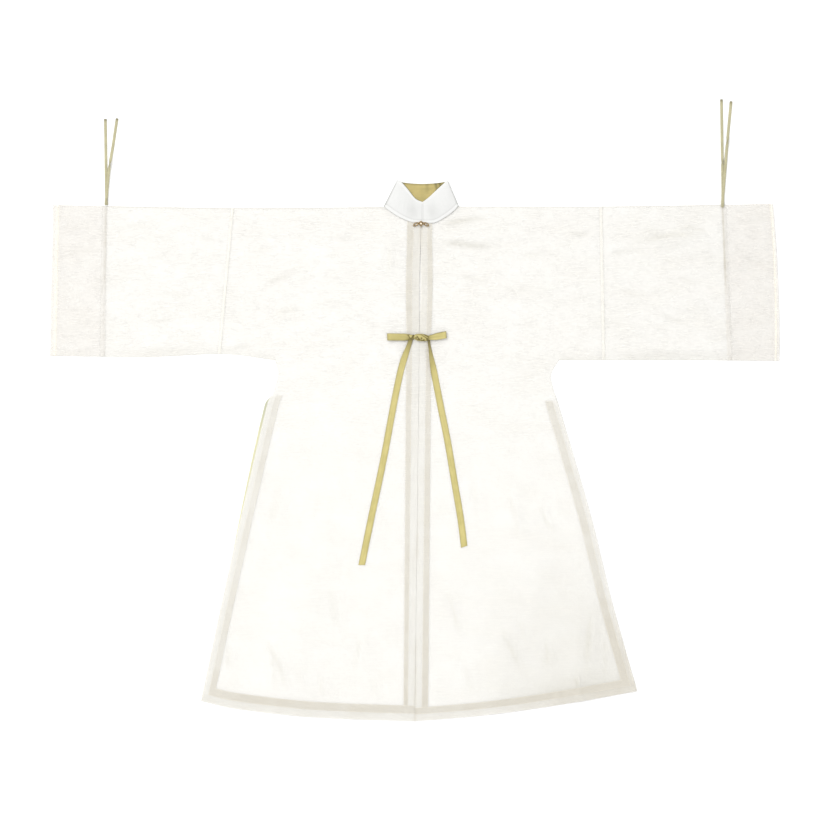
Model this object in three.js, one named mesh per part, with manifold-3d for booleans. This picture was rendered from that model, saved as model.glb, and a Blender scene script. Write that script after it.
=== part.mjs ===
// A long unlined robe of sheer cloth, laid out flat on a table: stand collar, opening at the
// centre front, wide pieced sleeves, slit sides, a faced hem, a metal clasp and a ribbon bow.
// Millimetres. X runs along the sleeves, Y from the hem to the collar, Z up from the table.
// Left and right are those of somebody looking down at the robe with the collar at the top.
import * as THREE from 'three';
import { mergeVertices } from 'three/addons/utils/BufferGeometryUtils.js';
import Module from 'manifold-3d';

const wasm = await Module();
wasm.setup();

// ---- driving sizes ------------------------------------------------------------------------
const WALL = 1.0; // cloth
const SEAM = 0.3; // clearance between neighbouring pieces
const LAYER = WALL + SEAM; // rise from one layer of cloth to the next

// Undersides of the layers, from the table up.
const LEVEL = { back: 0, backFacing: LAYER, front: 2 * LAYER, frontFacing: 3 * LAYER, trim: 4 * LAYER };

const CENTRE_LINE = { topX: 14.6, topY: 526, footX: 0.7, footY: -635 }; // the front opening
const OPENING = 0.3; // half the clearance between the two fronts
const GAPE = { topY: 490, footY: 284, half: 1.3 }; // where the two fronts part a little
const HEM_LOW = -635; // lowest point of the hem, at the centre front
const UNDERARM_Y = 213;
const PINCH = 24; // how far in from a fold or a seam the front rises to its full height
const NECK_REST = 12; // how far below its top edge the front lies smooth

const BACK_NECK = { leftX: -73, leftY: 572.8, rightX: 106, rightY: 574, dip: 11, stations: 8 };
const BINDING = { width: 6, outset: 5.5, fullY: 108, endY: -233, overlap: 4 };

// One row for each half of the robe. topX and footX are where a line across the sleeve starts
// at the top fold and ends at the bottom seam.
const HALVES = [
  {
    name: 'left',
    sign: -1,
    slitTop: 130,
    underarmX: -328,
    placket: { top: 31, foot: 26, light: 17 },
    slitFacing: { width: 27, light: 14 },
    hemFacing: { width: 36, light: 18 },
    seam: { topX: -424, footX: -455, bow: 0 },
    casing: { topX: -722, footX: -727, bow: 0 },
    cuff: { topX: -849.5, footX: -856.6, bow: 0 },
    fold: [
      { x: -849.5, y: 577.5 },
      { x: -424, y: 570.5 },
      { x: -73, y: 572.8 },
    ],
    neck: [
      { x: -73, y: 572.8 },
      { x: -52, y: 567 },
      { x: -14, y: 546 },
      { x: 16, y: 540 },
    ],
    sleeveFoot: [
      { x: -856.6, y: 222.7 },
      { x: -620, y: 220.5 },
      { x: -445, y: 227 },
      { x: -328, y: 213 },
    ],
    side: [
      { y: -587.4, x: -501.7 },
      { y: -350, x: -451.5 },
      { y: -116, x: -399 },
      { y: 113, x: -345 },
      { y: 130, x: -337 },
      { y: 155, x: -326 },
      { y: 182, x: -320 },
      { y: 213, x: -328 },
    ],
    hem: [
      { across: 0, rise: 0 },
      { across: 0.3, rise: 4.7 },
      { across: 0.54, rise: 11.7 },
      { across: 0.86, rise: 31 },
      { across: 1, rise: 47.6 },
    ],
  },
  {
    name: 'right',
    sign: 1,
    slitTop: 117,
    underarmX: 340,
    placket: { top: 26, foot: 30, light: 16 },
    slitFacing: { width: 29, light: 12 },
    hemFacing: { width: 31, light: 16 },
    seam: { topX: 434, footX: 440.6, bow: 0 },
    casing: { topX: 720, footX: 735, bow: 0 },
    cuff: { topX: 841.3, footX: 856.6, bow: 4.5 },
    fold: [
      { x: 106, y: 574 },
      { x: 434, y: 574 },
      { x: 841.3, y: 580 },
    ],
    neck: [
      { x: 14, y: 540 },
      { x: 45, y: 541 },
      { x: 80, y: 560 },
      { x: 106, y: 574 },
    ],
    sleeveFoot: [
      { x: 340, y: 213 },
      { x: 600, y: 213.3 },
      { x: 856.6, y: 211 },
    ],
    side: [
      { y: -564.5, x: 522.9 },
      { y: -351, x: 463 },
      { y: -163, x: 417 },
      { y: 25, x: 363 },
      { y: 117, x: 335.5 },
      { y: 150, x: 325 },
      { y: 180, x: 321 },
      { y: 213, x: 340 },
    ],
    hem: [
      { across: 0, rise: 0 },
      { across: 0.25, rise: 10.6 },
      { across: 0.475, rise: 24.7 },
      { across: 0.655, rise: 38.8 },
      { across: 1, rise: 70.5 },
    ],
  },
];

// Where the rows and columns of cloth points stand. A yoke row is a part of the way from the
// top fold to the underarm line, and a skirt row a part of the way from the slit to the hem
// facing. The columns between the placket and the slit facing are evenly spread.
const YOKE_ROWS = [0, 0.035, 0.1, 0.21, 0.33, 0.45, 0.57, 0.69, 0.81, 0.92, 1];
const SIDE_ROWS = [198, 180, 155];
const SKIRT_ROWS = [0.09, 0.19, 0.29, 0.39, 0.49, 0.59, 0.69, 0.79, 0.89, 1];
const MIDDLE_COLUMNS = 7;
const STUB_COLUMNS = 3;

// The largest folds of the top layer. Each is a soft ridge about a straight line: its middle,
// which way it runs from +X, half its length, half its width and its height.
const FOLDS = [
  { x: 132, y: 512, turn: 4, length: 90, width: 34, height: 3.0 },
  { x: -74, y: 470, turn: 88, length: 80, width: 36, height: 2.6 },
  { x: -245, y: 420, turn: 8, length: 150, width: 40, height: 2.2 },
  { x: 290, y: 385, turn: -10, length: 140, width: 42, height: 2.4 },
  { x: 655, y: 500, turn: -6, length: 100, width: 34, height: 3.4 },
  { x: 560, y: 330, turn: 14, length: 130, width: 38, height: 2.4 },
  { x: -600, y: 400, turn: -9, length: 140, width: 42, height: 2.6 },
  { x: -250, y: -330, turn: 78, length: 210, width: 46, height: 3.6 },
  { x: -270, y: -520, turn: 96, length: 90, width: 36, height: 3.2 },
  { x: 262, y: -250, turn: 104, length: 220, width: 46, height: 3.6 },
  { x: 392, y: -480, turn: 95, length: 120, width: 38, height: 4.2 },
  { x: 205, y: -520, turn: 84, length: 110, width: 40, height: 2.8 },
  { x: -360, y: -160, turn: 74, length: 150, width: 40, height: 2.4 },
];

// The stand collar, pressed flat: each front half from its outer fold to the centre front.
const COLLAR = { belly: 3.4, rows: [0, 0.12, 0.35, 0.65, 0.88, 1] };
const COLLAR_HALVES = [
  {
    name: 'left',
    across: [
      { lowerX: -72.6, lowerY: 572.1, upperX: -41.1, upperY: 635 },
      { lowerX: -58, lowerY: 561.5, upperX: -30.6, upperY: 630.6 },
      { lowerX: -36, lowerY: 547, upperX: -17, upperY: 616 },
      { lowerX: -8, lowerY: 534.5, upperX: 2, upperY: 592.5 },
      { lowerX: 18.6, lowerY: 532.5, upperX: 18.6, upperY: 584.3 },
    ],
  },
  {
    name: 'right',
    across: [
      { lowerX: 19.2, lowerY: 532.5, upperX: 19.2, upperY: 584.3 },
      { lowerX: 47, lowerY: 532.5, upperX: 34, upperY: 595.8 },
      { lowerX: 72, lowerY: 546.5, upperX: 52.4, upperY: 613.1 },
      { lowerX: 93, lowerY: 561.5, upperX: 72, upperY: 630.8 },
      { lowerX: 106, lowerY: 573.5, upperX: 78, upperY: 634.6 },
    ],
  },
];
const COLLAR_RIM = { leftX: -39, rightX: 76, y: 630.5, sag: 5 };

const RIBBON = { width: 16.5, wall: 1.0 };
const KNOT = { x: 15.3, y: 265, length: 29.5, width: 19, low: LEVEL.trim, height: 8.4 };
const LOOPS = [
  { name: 'left', fromX: -0.4, fromY: 266.6, toX: -64.6, toY: 267.3, height: 5.6 },
  { name: 'right', fromX: 31, fromY: 264.6, toX: 75.2, toY: 272.5, height: 6.0 },
];
const TAILS = [
  {
    name: 'left',
    path: [
      { x: -10.2, y: 254.6 },
      { x: -21.4, y: 213.3 },
      { x: -58.5, y: 42.4 },
      { x: -85.8, y: -94.6 },
      { x: -123.4, y: -268.5 },
    ],
  },
  {
    name: 'right',
    path: [
      { x: 34.1, y: 252.6 },
      { x: 43.5, y: 213.3 },
      { x: 78.7, y: 48.8 },
      { x: 99.9, y: -88.7 },
      { x: 116.3, y: -225.3 },
    ],
  },
];
const TAIL_STEPS = 22;
const TAIL_CLEARANCE = 0.75; // over the flat facets of the panel below

// The free ends of the cuff drawstrings: flat laces lying on the table from the top fold.
const LACE = { width: 5.8, wall: 1.6, sides: 8, steps: 14 };
const LACES = [
  {
    name: 'left_under',
    path: [
      { x: -723.2, y: 577.2, z: 0 },
      { x: -723.9, y: 606, z: 0 },
      { x: -725, y: 680, z: 0 },
      { x: -726.4, y: 779.6, z: 0 },
    ],
  },
  {
    name: 'left_over',
    path: [
      { x: -724.6, y: 577.4, z: 2.0 },
      { x: -722.6, y: 606, z: 2.0 },
      { x: -717, y: 664, z: 1.9 },
      { x: -708.5, y: 716, z: 0 },
      { x: -698.7, y: 781, z: 0 },
    ],
  },
  {
    name: 'right_under',
    path: [
      { x: 724.2, y: 580.2, z: 0 },
      { x: 724.4, y: 612, z: 0 },
      { x: 723, y: 700, z: 0 },
      { x: 721.2, y: 825.7, z: 0 },
    ],
  },
  {
    name: 'right_over',
    path: [
      { x: 722.6, y: 580.4, z: 2.0 },
      { x: 725.6, y: 616, z: 2.0 },
      { x: 731.5, y: 688, z: 1.9 },
      { x: 737, y: 748, z: 0 },
      { x: 743.8, y: 821, z: 0 },
    ],
  },
];

const CLASP = {
  x: 15.3,
  y: 533,
  low: LEVEL.trim + 0.4,
  plate: 1.0,
  diamond: { halfWidth: 7.2, halfHeight: 5.6, hole: 3.1 },
  wing: { away: 12.2, drop: 1.6, halfLength: 6.6, halfWidth: 3.9, turn: 32, hole: 0.5 },
  bead: { radius: 2.7, rise: 2.4 },
};

const FINISH = {
  ivory: { color: '#f3efe3', roughness: 0.85, metalness: 0 },
  sheer: { color: '#faf8f0', roughness: 0.85, metalness: 0 },
  collar: { color: '#f4f4f0', roughness: 0.7, metalness: 0 },
  olive: { color: '#c9bd7c', roughness: 0.45, metalness: 0 },
  brass: { color: '#8f7a52', roughness: 0.3, metalness: 1 },
};

// ---- small helpers ------------------------------------------------------------------------
const mix = (from, to, part) => from + (to - from) * part;

function ease(part) {
  const held = Math.min(Math.max(part, 0), 1);
  return held * held * (3 - 2 * held);
}

/** Reads column `to` of a short table at `at`, on a smooth curve through its rows. */
function read(table, from, to, at) {
  const last = table.length - 1;
  const step = Math.min(Math.max(table.findIndex((row) => row[from] >= at) - 1, 0), last - 1);
  const index = at > table[last][from] ? last - 1 : step;
  const slope = (row) => {
    const before = table[Math.max(row - 1, 0)];
    const after = table[Math.min(row + 1, last)];
    return (after[to] - before[to]) / (after[from] - before[from]);
  };
  const start = table[index];
  const end = table[index + 1];
  const span = end[from] - start[from];
  const t = Math.min(Math.max((at - start[from]) / span, 0), 1);
  const bend = t * (1 - t) * span * (slope(index) * (1 - t) - slope(index + 1) * t);
  const straight = (end[to] - start[to]) * t * (1 - t) * (2 * t - 1);
  return mix(start[to], end[to], t) + bend + straight;
}

/** The height that the largest folds add to the top layer at a point. */
function foldHeight(x, y) {
  return FOLDS.reduce((sum, fold) => {
    const turn = THREE.MathUtils.degToRad(fold.turn);
    const along = (x - fold.x) * Math.cos(turn) + (y - fold.y) * Math.sin(turn);
    const across = (y - fold.y) * Math.cos(turn) - (x - fold.x) * Math.sin(turn);
    return sum + fold.height * Math.exp(-((along / fold.length) ** 2) - (across / fold.width) ** 2);
  }, 0);
}

// ---- the cut of one half ------------------------------------------------------------------
function centreX(y) {
  const part = (y - CENTRE_LINE.footY) / (CENTRE_LINE.topY - CENTRE_LINE.footY);
  return mix(CENTRE_LINE.footX, CENTRE_LINE.topX, part);
}

/** How far a front stands back from the centre line. */
function openingX(y) {
  const part = Math.min(Math.max((y - GAPE.footY) / (GAPE.topY - GAPE.footY), 0), 1);
  return OPENING + GAPE.half * Math.sin(Math.PI * part);
}

/** The top edge of the front: the neck, and beyond it the fold over the shoulder and sleeve. */
function topY(half, x) {
  const neckEnd = half.sign < 0 ? half.neck[0].x : half.neck.at(-1).x;
  const inNeck = x * half.sign < neckEnd * half.sign;
  return inNeck ? read(half.neck, 'x', 'y', x) : read(half.fold, 'x', 'y', x);
}

const sideX = (half, y) => (y >= UNDERARM_Y ? half.underarmX : read(half.side, 'y', 'x', y));
const hemY = (half, across) => HEM_LOW + read(half.hem, 'across', 'rise', across);
const sleeveFootY = (half, x) => read(half.sleeveFoot, 'x', 'y', x);

/** Where a line across the sleeve stands, a part of the way from the fold to the seam below. */
function sleeveLineX(line, part) {
  return mix(line.topX, line.footX, part) + line.bow * 4 * part * (1 - part);
}

/** How close a point of the top layer is to being held down: 0 at a fold or seam, 1 clear. */
function freedom(half, x, y) {
  const beyondNeck = Math.abs(x) > Math.abs(half.fold[half.sign < 0 ? 2 : 0].x) - 1;
  const beyondSide = x * half.sign >= half.underarmX * half.sign;
  const toTop = beyondNeck ? topY(half, x) - y : PINCH;
  const toFoot = beyondSide && y > UNDERARM_Y - 40 ? y - sleeveFootY(half, x) : PINCH;
  const sewn = ease((y - half.slitTop) / 30) * ease((UNDERARM_Y + PINCH - y) / PINCH);
  const toSide = mix(PINCH, Math.abs(sideX(half, y) - x), beyondSide ? 0 : sewn);
  return ease(Math.min(toTop, toFoot, toSide, PINCH) / PINCH);
}

/** The underside of the top layer: folds die away towards the top edge and the collar. */
function frontLow(half, x, y) {
  const belowTop = ease((topY(half, x) - y - NECK_REST) / (2 * PINCH));
  return LEVEL.backFacing + freedom(half, x, y) * (LAYER + belowTop * foldHeight(x, y));
}

/** The rows of one front panel, from the top edge to the hem. */
function panelRows(half) {
  return [
    ...YOKE_ROWS.map((part) => ({ zone: 'yoke', part })),
    ...SIDE_ROWS.map((y) => ({ zone: 'side', y })),
    { zone: 'side', y: half.slitTop },
    ...SKIRT_ROWS.map((part) => ({ zone: 'skirt', part })),
    { zone: 'band', up: half.hemFacing.light },
    { zone: 'band', up: 0 },
  ];
}

/** The columns of one front panel, from the opening to the seam of the sleeve. */
function panelColumns(half) {
  const middle = Array.from({ length: MIDDLE_COLUMNS }, (_, i) => (i + 1) / (MIDDLE_COLUMNS + 1));
  const stub = Array.from({ length: STUB_COLUMNS }, (_, i) => (i + 1) / STUB_COLUMNS);
  return [
    { from: 'centre', by: 0 },
    { from: 'centre', by: 'light' },
    { from: 'centre', by: 'whole' },
    ...middle.map((part) => ({ from: 'middle', part })),
    { from: 'side', by: half.slitFacing.width },
    { from: 'side', by: half.slitFacing.light },
    { from: 'side', by: 0 },
    ...stub.map((part) => ({ from: 'stub', part })),
  ];
}

function rowY(half, row, x, across) {
  if (row.zone === 'yoke') {
    const foot = x * half.sign > half.underarmX * half.sign ? sleeveFootY(half, x) : UNDERARM_Y;
    return mix(topY(half, x), foot, row.part);
  }
  if (row.zone === 'side') return row.y;
  const hem = hemY(half, across);
  if (row.zone === 'skirt') return mix(half.slitTop, hem + half.hemFacing.width, row.part);
  return hem + row.up;
}

function placketWidth(half, y, by) {
  const part = (y - CENTRE_LINE.footY) / (CENTRE_LINE.topY - CENTRE_LINE.footY);
  const whole = mix(half.placket.foot, half.placket.top, part);
  return { whole, light: half.placket.light, 0: 0 }[by];
}

/** The plan position of one point of a front panel. */
function panelPoint(half, column, row) {
  const middleY = rowY(half, row, CENTRE_LINE.topX, 0);
  const edgeY = rowY(half, row, half.underarmX, 1);
  const start = centreX(middleY) + half.sign * openingX(middleY);
  const edge = row.zone === 'yoke' ? half.underarmX : sideX(half, edgeY);
  const facingEdge = start + half.sign * placketWidth(half, middleY, 'whole');
  const slitEdge = edge - half.sign * half.slitFacing.width;
  const stubEnd = sleeveLineX(half.seam, row.part ?? 1) - half.sign * SEAM / 2;
  const x = {
    centre: () => start + half.sign * placketWidth(half, middleY, column.by),
    middle: () => mix(facingEdge, slitEdge, column.part),
    side: () => edge - half.sign * column.by,
    stub: () => mix(edge, stubEnd, column.part),
  }[column.from]();
  return { x, y: rowY(half, row, x, (x - start) / (edge - start)) };
}

// ---- solids -------------------------------------------------------------------------------
/** Turns a closed list of triangles so that its faces point out, and merges its corners. */
function closedBody(positions, triangles) {
  const corner = (index) => new THREE.Vector3().fromArray(positions, index * 3);
  const volume = triangles.reduce((sum, [a, b, c]) => {
    return sum + corner(a).dot(corner(b).clone().cross(corner(c)));
  }, 0);
  const facing = volume > 0 ? triangles : triangles.map(([a, b, c]) => [a, c, b]);
  const geometry = new THREE.BufferGeometry();
  geometry.setAttribute('position', new THREE.Float32BufferAttribute(positions, 3));
  geometry.setIndex(facing.flat());
  return mergeVertices(geometry, 1e-4);
}

/**
 * A wall of cloth on a lattice of points. low(i, j) and high(i, j) give its two faces, and
 * has(i, j) says which cells of the lattice are cloth.
 */
function clothWall(columns, rows, has, low, high) {
  const positions = [];
  const triangles = [];
  const index = (i, j, upper) => (i * rows + j) * 2 + (upper ? 1 : 0);
  for (let i = 0; i < columns; i += 1) {
    for (let j = 0; j < rows; j += 1) positions.push(...low(i, j), ...high(i, j));
  }
  const filled = (i, j) => i >= 0 && j >= 0 && i < columns - 1 && j < rows - 1 && has(i, j);
  const quad = (a, b, c, d) => triangles.push([a, b, c], [a, c, d]);
  for (let i = 0; i < columns - 1; i += 1) {
    for (let j = 0; j < rows - 1; j += 1) {
      if (!filled(i, j)) continue;
      const under = [index(i, j), index(i + 1, j), index(i + 1, j + 1), index(i, j + 1)];
      const over = under.map((corner) => corner + 1);
      quad(...over);
      triangles.push([under[0], under[2], under[1]], [under[0], under[3], under[2]]);
      const open = [!filled(i, j - 1), !filled(i + 1, j), !filled(i, j + 1), !filled(i - 1, j)];
      open.forEach((bare, side) => {
        const next = (side + 1) % 4;
        if (bare) quad(under[side], under[next], over[next], over[side]);
      });
    }
  }
  return closedBody(positions, triangles);
}

/** A flat piece of cloth: an outline in plan and the height of its underside. */
function flatCloth(outline, low) {
  const shape = new THREE.Shape(outline.map((point) => new THREE.Vector2(point.x, point.y)));
  const geometry = new THREE.ExtrudeGeometry(shape, { depth: WALL, bevelEnabled: false });
  geometry.translate(0, 0, low);
  geometry.deleteAttribute('normal');
  geometry.deleteAttribute('uv');
  return mergeVertices(geometry, 1e-4);
}

/** A solid through closed rings of points, with a flat cap at each end. */
function loft(rings) {
  const sides = rings[0].length;
  const positions = rings.flat().flatMap((point) => [point.x, point.y, point.z]);
  const triangles = [];
  rings.slice(1).forEach((_, step) => {
    for (let side = 0; side < sides; side += 1) {
      const next = (side + 1) % sides;
      const [a, b] = [step * sides + side, step * sides + next];
      triangles.push([a, b, b + sides], [a, b + sides, a + sides]);
    }
  });
  const end = (rings.length - 1) * sides;
  for (let side = 1; side < sides - 1; side += 1) {
    triangles.push([0, side + 1, side], [end, end + side, end + side + 1]);
  }
  return closedBody(positions, triangles);
}

function smoothPath(points, steps) {
  const curve = new THREE.CatmullRomCurve3(points.map(({ x, y, z = 0 }) => new THREE.Vector3(x, y, z)));
  return Array.from({ length: steps + 1 }, (_, step) => ({
    point: curve.getPointAt(step / steps),
    along: curve.getTangentAt(step / steps),
  }));
}

// ---- the front layer ----------------------------------------------------------------------
/** The lattice of one front panel and of what lies on it. */
class FrontPanel {
  constructor(half) {
    this.half = half;
    this.rows = panelRows(half);
    this.columns = panelColumns(half);
    this.points = this.columns.map((column) => this.rows.map((row) => panelPoint(half, column, row)));
    this.sideColumn = 3 + MIDDLE_COLUMNS + 2;
    this.underarmRow = YOKE_ROWS.length - 1;
    this.slitRow = this.underarmRow + SIDE_ROWS.length + 1;
    this.bandRow = this.slitRow + SKIRT_ROWS.length;
  }

  wall(has, lift) {
    const at = (rise) => (i, j) => {
      const { x, y } = this.points[i][j];
      return [x, y, frontLow(this.half, x, y) + lift + rise];
    };
    return clothWall(this.columns.length, this.rows.length, has, at(0), at(WALL));
  }

  panel() {
    return this.wall((i, j) => i < this.sideColumn || j < this.underarmRow, 0);
  }

  placket() {
    return this.wall((i, j) => i < 2 && j >= 1 && j < this.bandRow, LAYER);
  }

  slitFacing() {
    const inStrip = (i) => i >= this.sideColumn - 2 && i < this.sideColumn;
    return this.wall((i, j) => inStrip(i) && j >= this.slitRow && j < this.bandRow, LAYER);
  }

  hemFacing() {
    return this.wall((i, j) => i < this.sideColumn && j >= this.bandRow, LAYER);
  }
}

/** Leaves the seam's clearance between neighbours cut from one lattice. */
function shrinkAlongY(geometry, lowest, highest) {
  const position = geometry.getAttribute('position');
  for (let index = 0; index < position.count; index += 1) {
    const y = position.getY(index);
    position.setY(index, Math.min(Math.max(y, lowest(position.getX(index))), highest));
  }
  return geometry;
}

/** The lattice of one sleeve's front and of the cuff facing and drawstring casing on it. */
class SleeveFront {
  constructor(half) {
    this.half = half;
    const { seam, casing, cuff, sign } = half;
    const start = { ...seam, topX: seam.topX + sign * SEAM / 2, footX: seam.footX + sign * SEAM / 2 };
    const shifted = (line, by) => ({ ...line, topX: line.topX + sign * by, footX: line.footX + sign * by });
    const between = (from, to, part) => ({
      topX: mix(from.topX, to.topX, part),
      footX: mix(from.footX, to.footX, part),
      bow: mix(from.bow, to.bow, part),
    });
    const casingEnd = shifted(casing, 12);
    const facingStart = shifted(casingEnd, SEAM);
    const cuffHem = shifted(cuff, -17);
    this.lines = [
      start,
      ...[0.25, 0.5, 0.75].map((part) => between(start, casing, part)),
      casing,
      shifted(casing, 6),
      casingEnd,
      facingStart,
      between(facingStart, cuffHem, 0.5),
      cuffHem,
      cuff,
    ];
    this.casingColumn = 4;
    this.facingColumn = 7;
  }

  point(i, j) {
    const x = sleeveLineX(this.lines[i], YOKE_ROWS[j]);
    return { x, y: mix(topY(this.half, x), sleeveFootY(this.half, x), YOKE_ROWS[j]) };
  }

  wall(has, lift, dome = () => 0) {
    const at = (rise) => (i, j) => {
      const { x, y } = this.point(i, j);
      return [x, y, frontLow(this.half, x, y) + lift + rise + (rise > 0 ? dome(i) : 0)];
    };
    return clothWall(this.lines.length, YOKE_ROWS.length, has, at(0), at(WALL));
  }

  panel() {
    return this.wall(() => true, 0);
  }

  casing() {
    const inStrip = (i) => i === this.casingColumn || i === this.casingColumn + 1;
    return this.wall(inStrip, LAYER, (i) => (i === this.casingColumn + 1 ? 1.2 : 0));
  }

  cuffFacing() {
    return this.wall((i) => i >= this.facingColumn, LAYER);
  }
}

// ---- the back layer -----------------------------------------------------------------------
/** How far the back stands out past the front at the left slit, where its binding shows. */
function backOutset(half, y) {
  if (half.sign > 0 || y > half.slitTop || y < BINDING.endY) return 0;
  const falling = ease((y - BINDING.endY) / (BINDING.fullY - BINDING.endY));
  return BINDING.outset * falling * ease((half.slitTop - y) / (half.slitTop - BINDING.fullY));
}

/** Points down the side of the back, from the underarm to the hem. */
function backSide(half, from, to, steps, inset = 0) {
  return Array.from({ length: steps + 1 }, (_, step) => {
    const y = mix(from, to, step / steps);
    return { x: sideX(half, y) + half.sign * (backOutset(half, y) - inset), y };
  });
}

/** Points along the hem, from the centre to the corner, a distance up from the edge. */
function hemLine(half, up, steps, fromInset = 0, toInset = 0) {
  return Array.from({ length: steps + 1 }, (_, step) => {
    const across = step / steps;
    const y = hemY(half, across) + up;
    const start = centreX(HEM_LOW) + half.sign * (SEAM / 2 + fromInset);
    const end = sideX(half, hemY(half, 1) + up) - half.sign * toInset;
    return { x: mix(start, end, across), y };
  });
}

function backNeckY(x) {
  const part = (x - BACK_NECK.leftX) / (BACK_NECK.rightX - BACK_NECK.leftX);
  return mix(BACK_NECK.leftY, BACK_NECK.rightY, part) - BACK_NECK.dip * 4 * part * (1 - part);
}

/** The back neck, from left to right. */
function backNeckLine() {
  return Array.from({ length: BACK_NECK.stations + 1 }, (_, station) => {
    const x = mix(BACK_NECK.leftX, BACK_NECK.rightX, station / BACK_NECK.stations);
    return { x, y: backNeckY(x) };
  });
}

function backPanel(half) {
  const corner = hemY(half, 1);
  const neckEnd = half.sign < 0 ? BACK_NECK.leftX : BACK_NECK.rightX;
  const centreTopX = centreX(BACK_NECK.leftY - BACK_NECK.dip) + half.sign * SEAM / 2;
  const ownSide = backNeckLine().filter(({ x }) => (x - centreTopX) * half.sign > 1);
  const neckLine = half.sign < 0 ? ownSide : ownSide.reverse();
  const sleeveTop = [0, 0.33, 0.67].map((part) => {
    const x = mix(half.seam.topX - half.sign * SEAM / 2, neckEnd, part);
    return { x, y: topY(half, x) };
  });
  const sleeveFoot = [0.25, 0.5, 0.75, 1].map((part) => {
    const x = mix(half.underarmX, half.seam.footX - half.sign * SEAM / 2, part);
    return { x, y: sleeveFootY(half, x) };
  });
  const sideUpper = backSide(half, UNDERARM_Y, half.slitTop, 6);
  const sideLower = backSide(half, half.slitTop, corner, 18).slice(1, -1);
  const hem = hemLine(half, 0, 12);
  return flatCloth([
    ...sleeveTop,
    ...neckLine,
    { x: centreTopX, y: backNeckY(centreTopX) },
    ...hem,
    ...[...sideUpper, ...sideLower].reverse(),
    ...sleeveFoot,
  ], LEVEL.back);
}

function backSleeve(half) {
  const parts = Array.from({ length: 9 }, (_, step) => step / 8);
  const start = { ...half.seam, topX: half.seam.topX + half.sign * SEAM / 2 };
  const startFoot = half.seam.footX + half.sign * SEAM / 2;
  const fold = parts.map((part) => {
    const x = mix(start.topX, half.cuff.topX, part);
    return { x, y: topY(half, x) };
  });
  const cuff = parts.slice(1, -1).map((part) => {
    const x = sleeveLineX(half.cuff, part);
    return { x, y: mix(topY(half, x), sleeveFootY(half, x), part) };
  });
  const foot = parts.map((part) => {
    const x = mix(half.cuff.footX, startFoot, part);
    return { x, y: sleeveFootY(half, x) };
  });
  return flatCloth([...fold, ...cuff, ...foot], LEVEL.back);
}

/** The strip on the inside of the back along one slit. */
function backSlitFacing(half) {
  const inset = half.sign < 0 ? BINDING.width + SEAM : 0;
  const foot = hemY(half, 1) + half.hemFacing.width + SEAM;
  const outer = backSide(half, half.slitTop, foot, 14, inset);
  const inner = backSide(half, half.slitTop, foot, 14, half.slitFacing.width).reverse();
  return flatCloth([...outer, ...inner], LEVEL.backFacing);
}

function backHemFacing(half) {
  const lower = hemLine(half, 0, 12);
  const upper = hemLine(half, half.hemFacing.width, 12).reverse();
  return flatCloth([...lower, ...upper], LEVEL.backFacing);
}

/** The olive binding on the edge of the back, beside the left slit. */
function slitBinding(half) {
  const top = half.slitTop - BINDING.overlap;
  const outer = backSide(half, top, BINDING.endY, 12);
  const inner = backSide(half, top, BINDING.endY, 12, BINDING.width).reverse();
  return flatCloth([...outer, ...inner], LEVEL.backFacing);
}

// ---- the collar ---------------------------------------------------------------------------
function collarHalf({ name, across }) {
  const outerColumn = name === 'left' ? 0 : across.length - 1;
  const last = across.length - 1;
  const at = (rise) => (i, j) => {
    const part = COLLAR.rows[j];
    const x = mix(across[i].lowerX, across[i].upperX, part);
    const y = mix(across[i].lowerY, across[i].upperY, part);
    const fromFold = Math.abs(i - outerColumn) / last;
    const belly = COLLAR.belly * Math.sin(Math.PI * part) * Math.sin(Math.PI * fromFold);
    return [x, y, LEVEL.frontFacing + belly + rise];
  };
  return clothWall(across.length, COLLAR.rows.length, () => true, at(0), at(WALL + 0.2));
}

/** The back of the collar, from the back neck up to its rim. */
function collarBackOutline(inset) {
  const neck = backNeckLine().map(({ x, y }) => ({ x, y: y + SEAM + inset }));
  const rim = neck.map((_, station) => {
    const part = station / BACK_NECK.stations;
    const hang = COLLAR_RIM.sag * 4 * part * (1 - part);
    const x = mix(COLLAR_RIM.leftX + inset, COLLAR_RIM.rightX - inset, part);
    return { x, y: COLLAR_RIM.y - inset - hang };
  });
  return [...neck, ...rim.reverse()];
}

// ---- the ribbon bow -----------------------------------------------------------------------
/** A ring of four corners about a point of a ribbon. */
function ribbonRing(point, acrossway, upward, width, wall) {
  const corner = (side, up) => point.clone()
    .addScaledVector(acrossway, side * width / 2)
    .addScaledVector(upward, up * wall / 2);
  return [corner(-1, -1), corner(1, -1), corner(1, 1), corner(-1, 1)];
}

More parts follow.
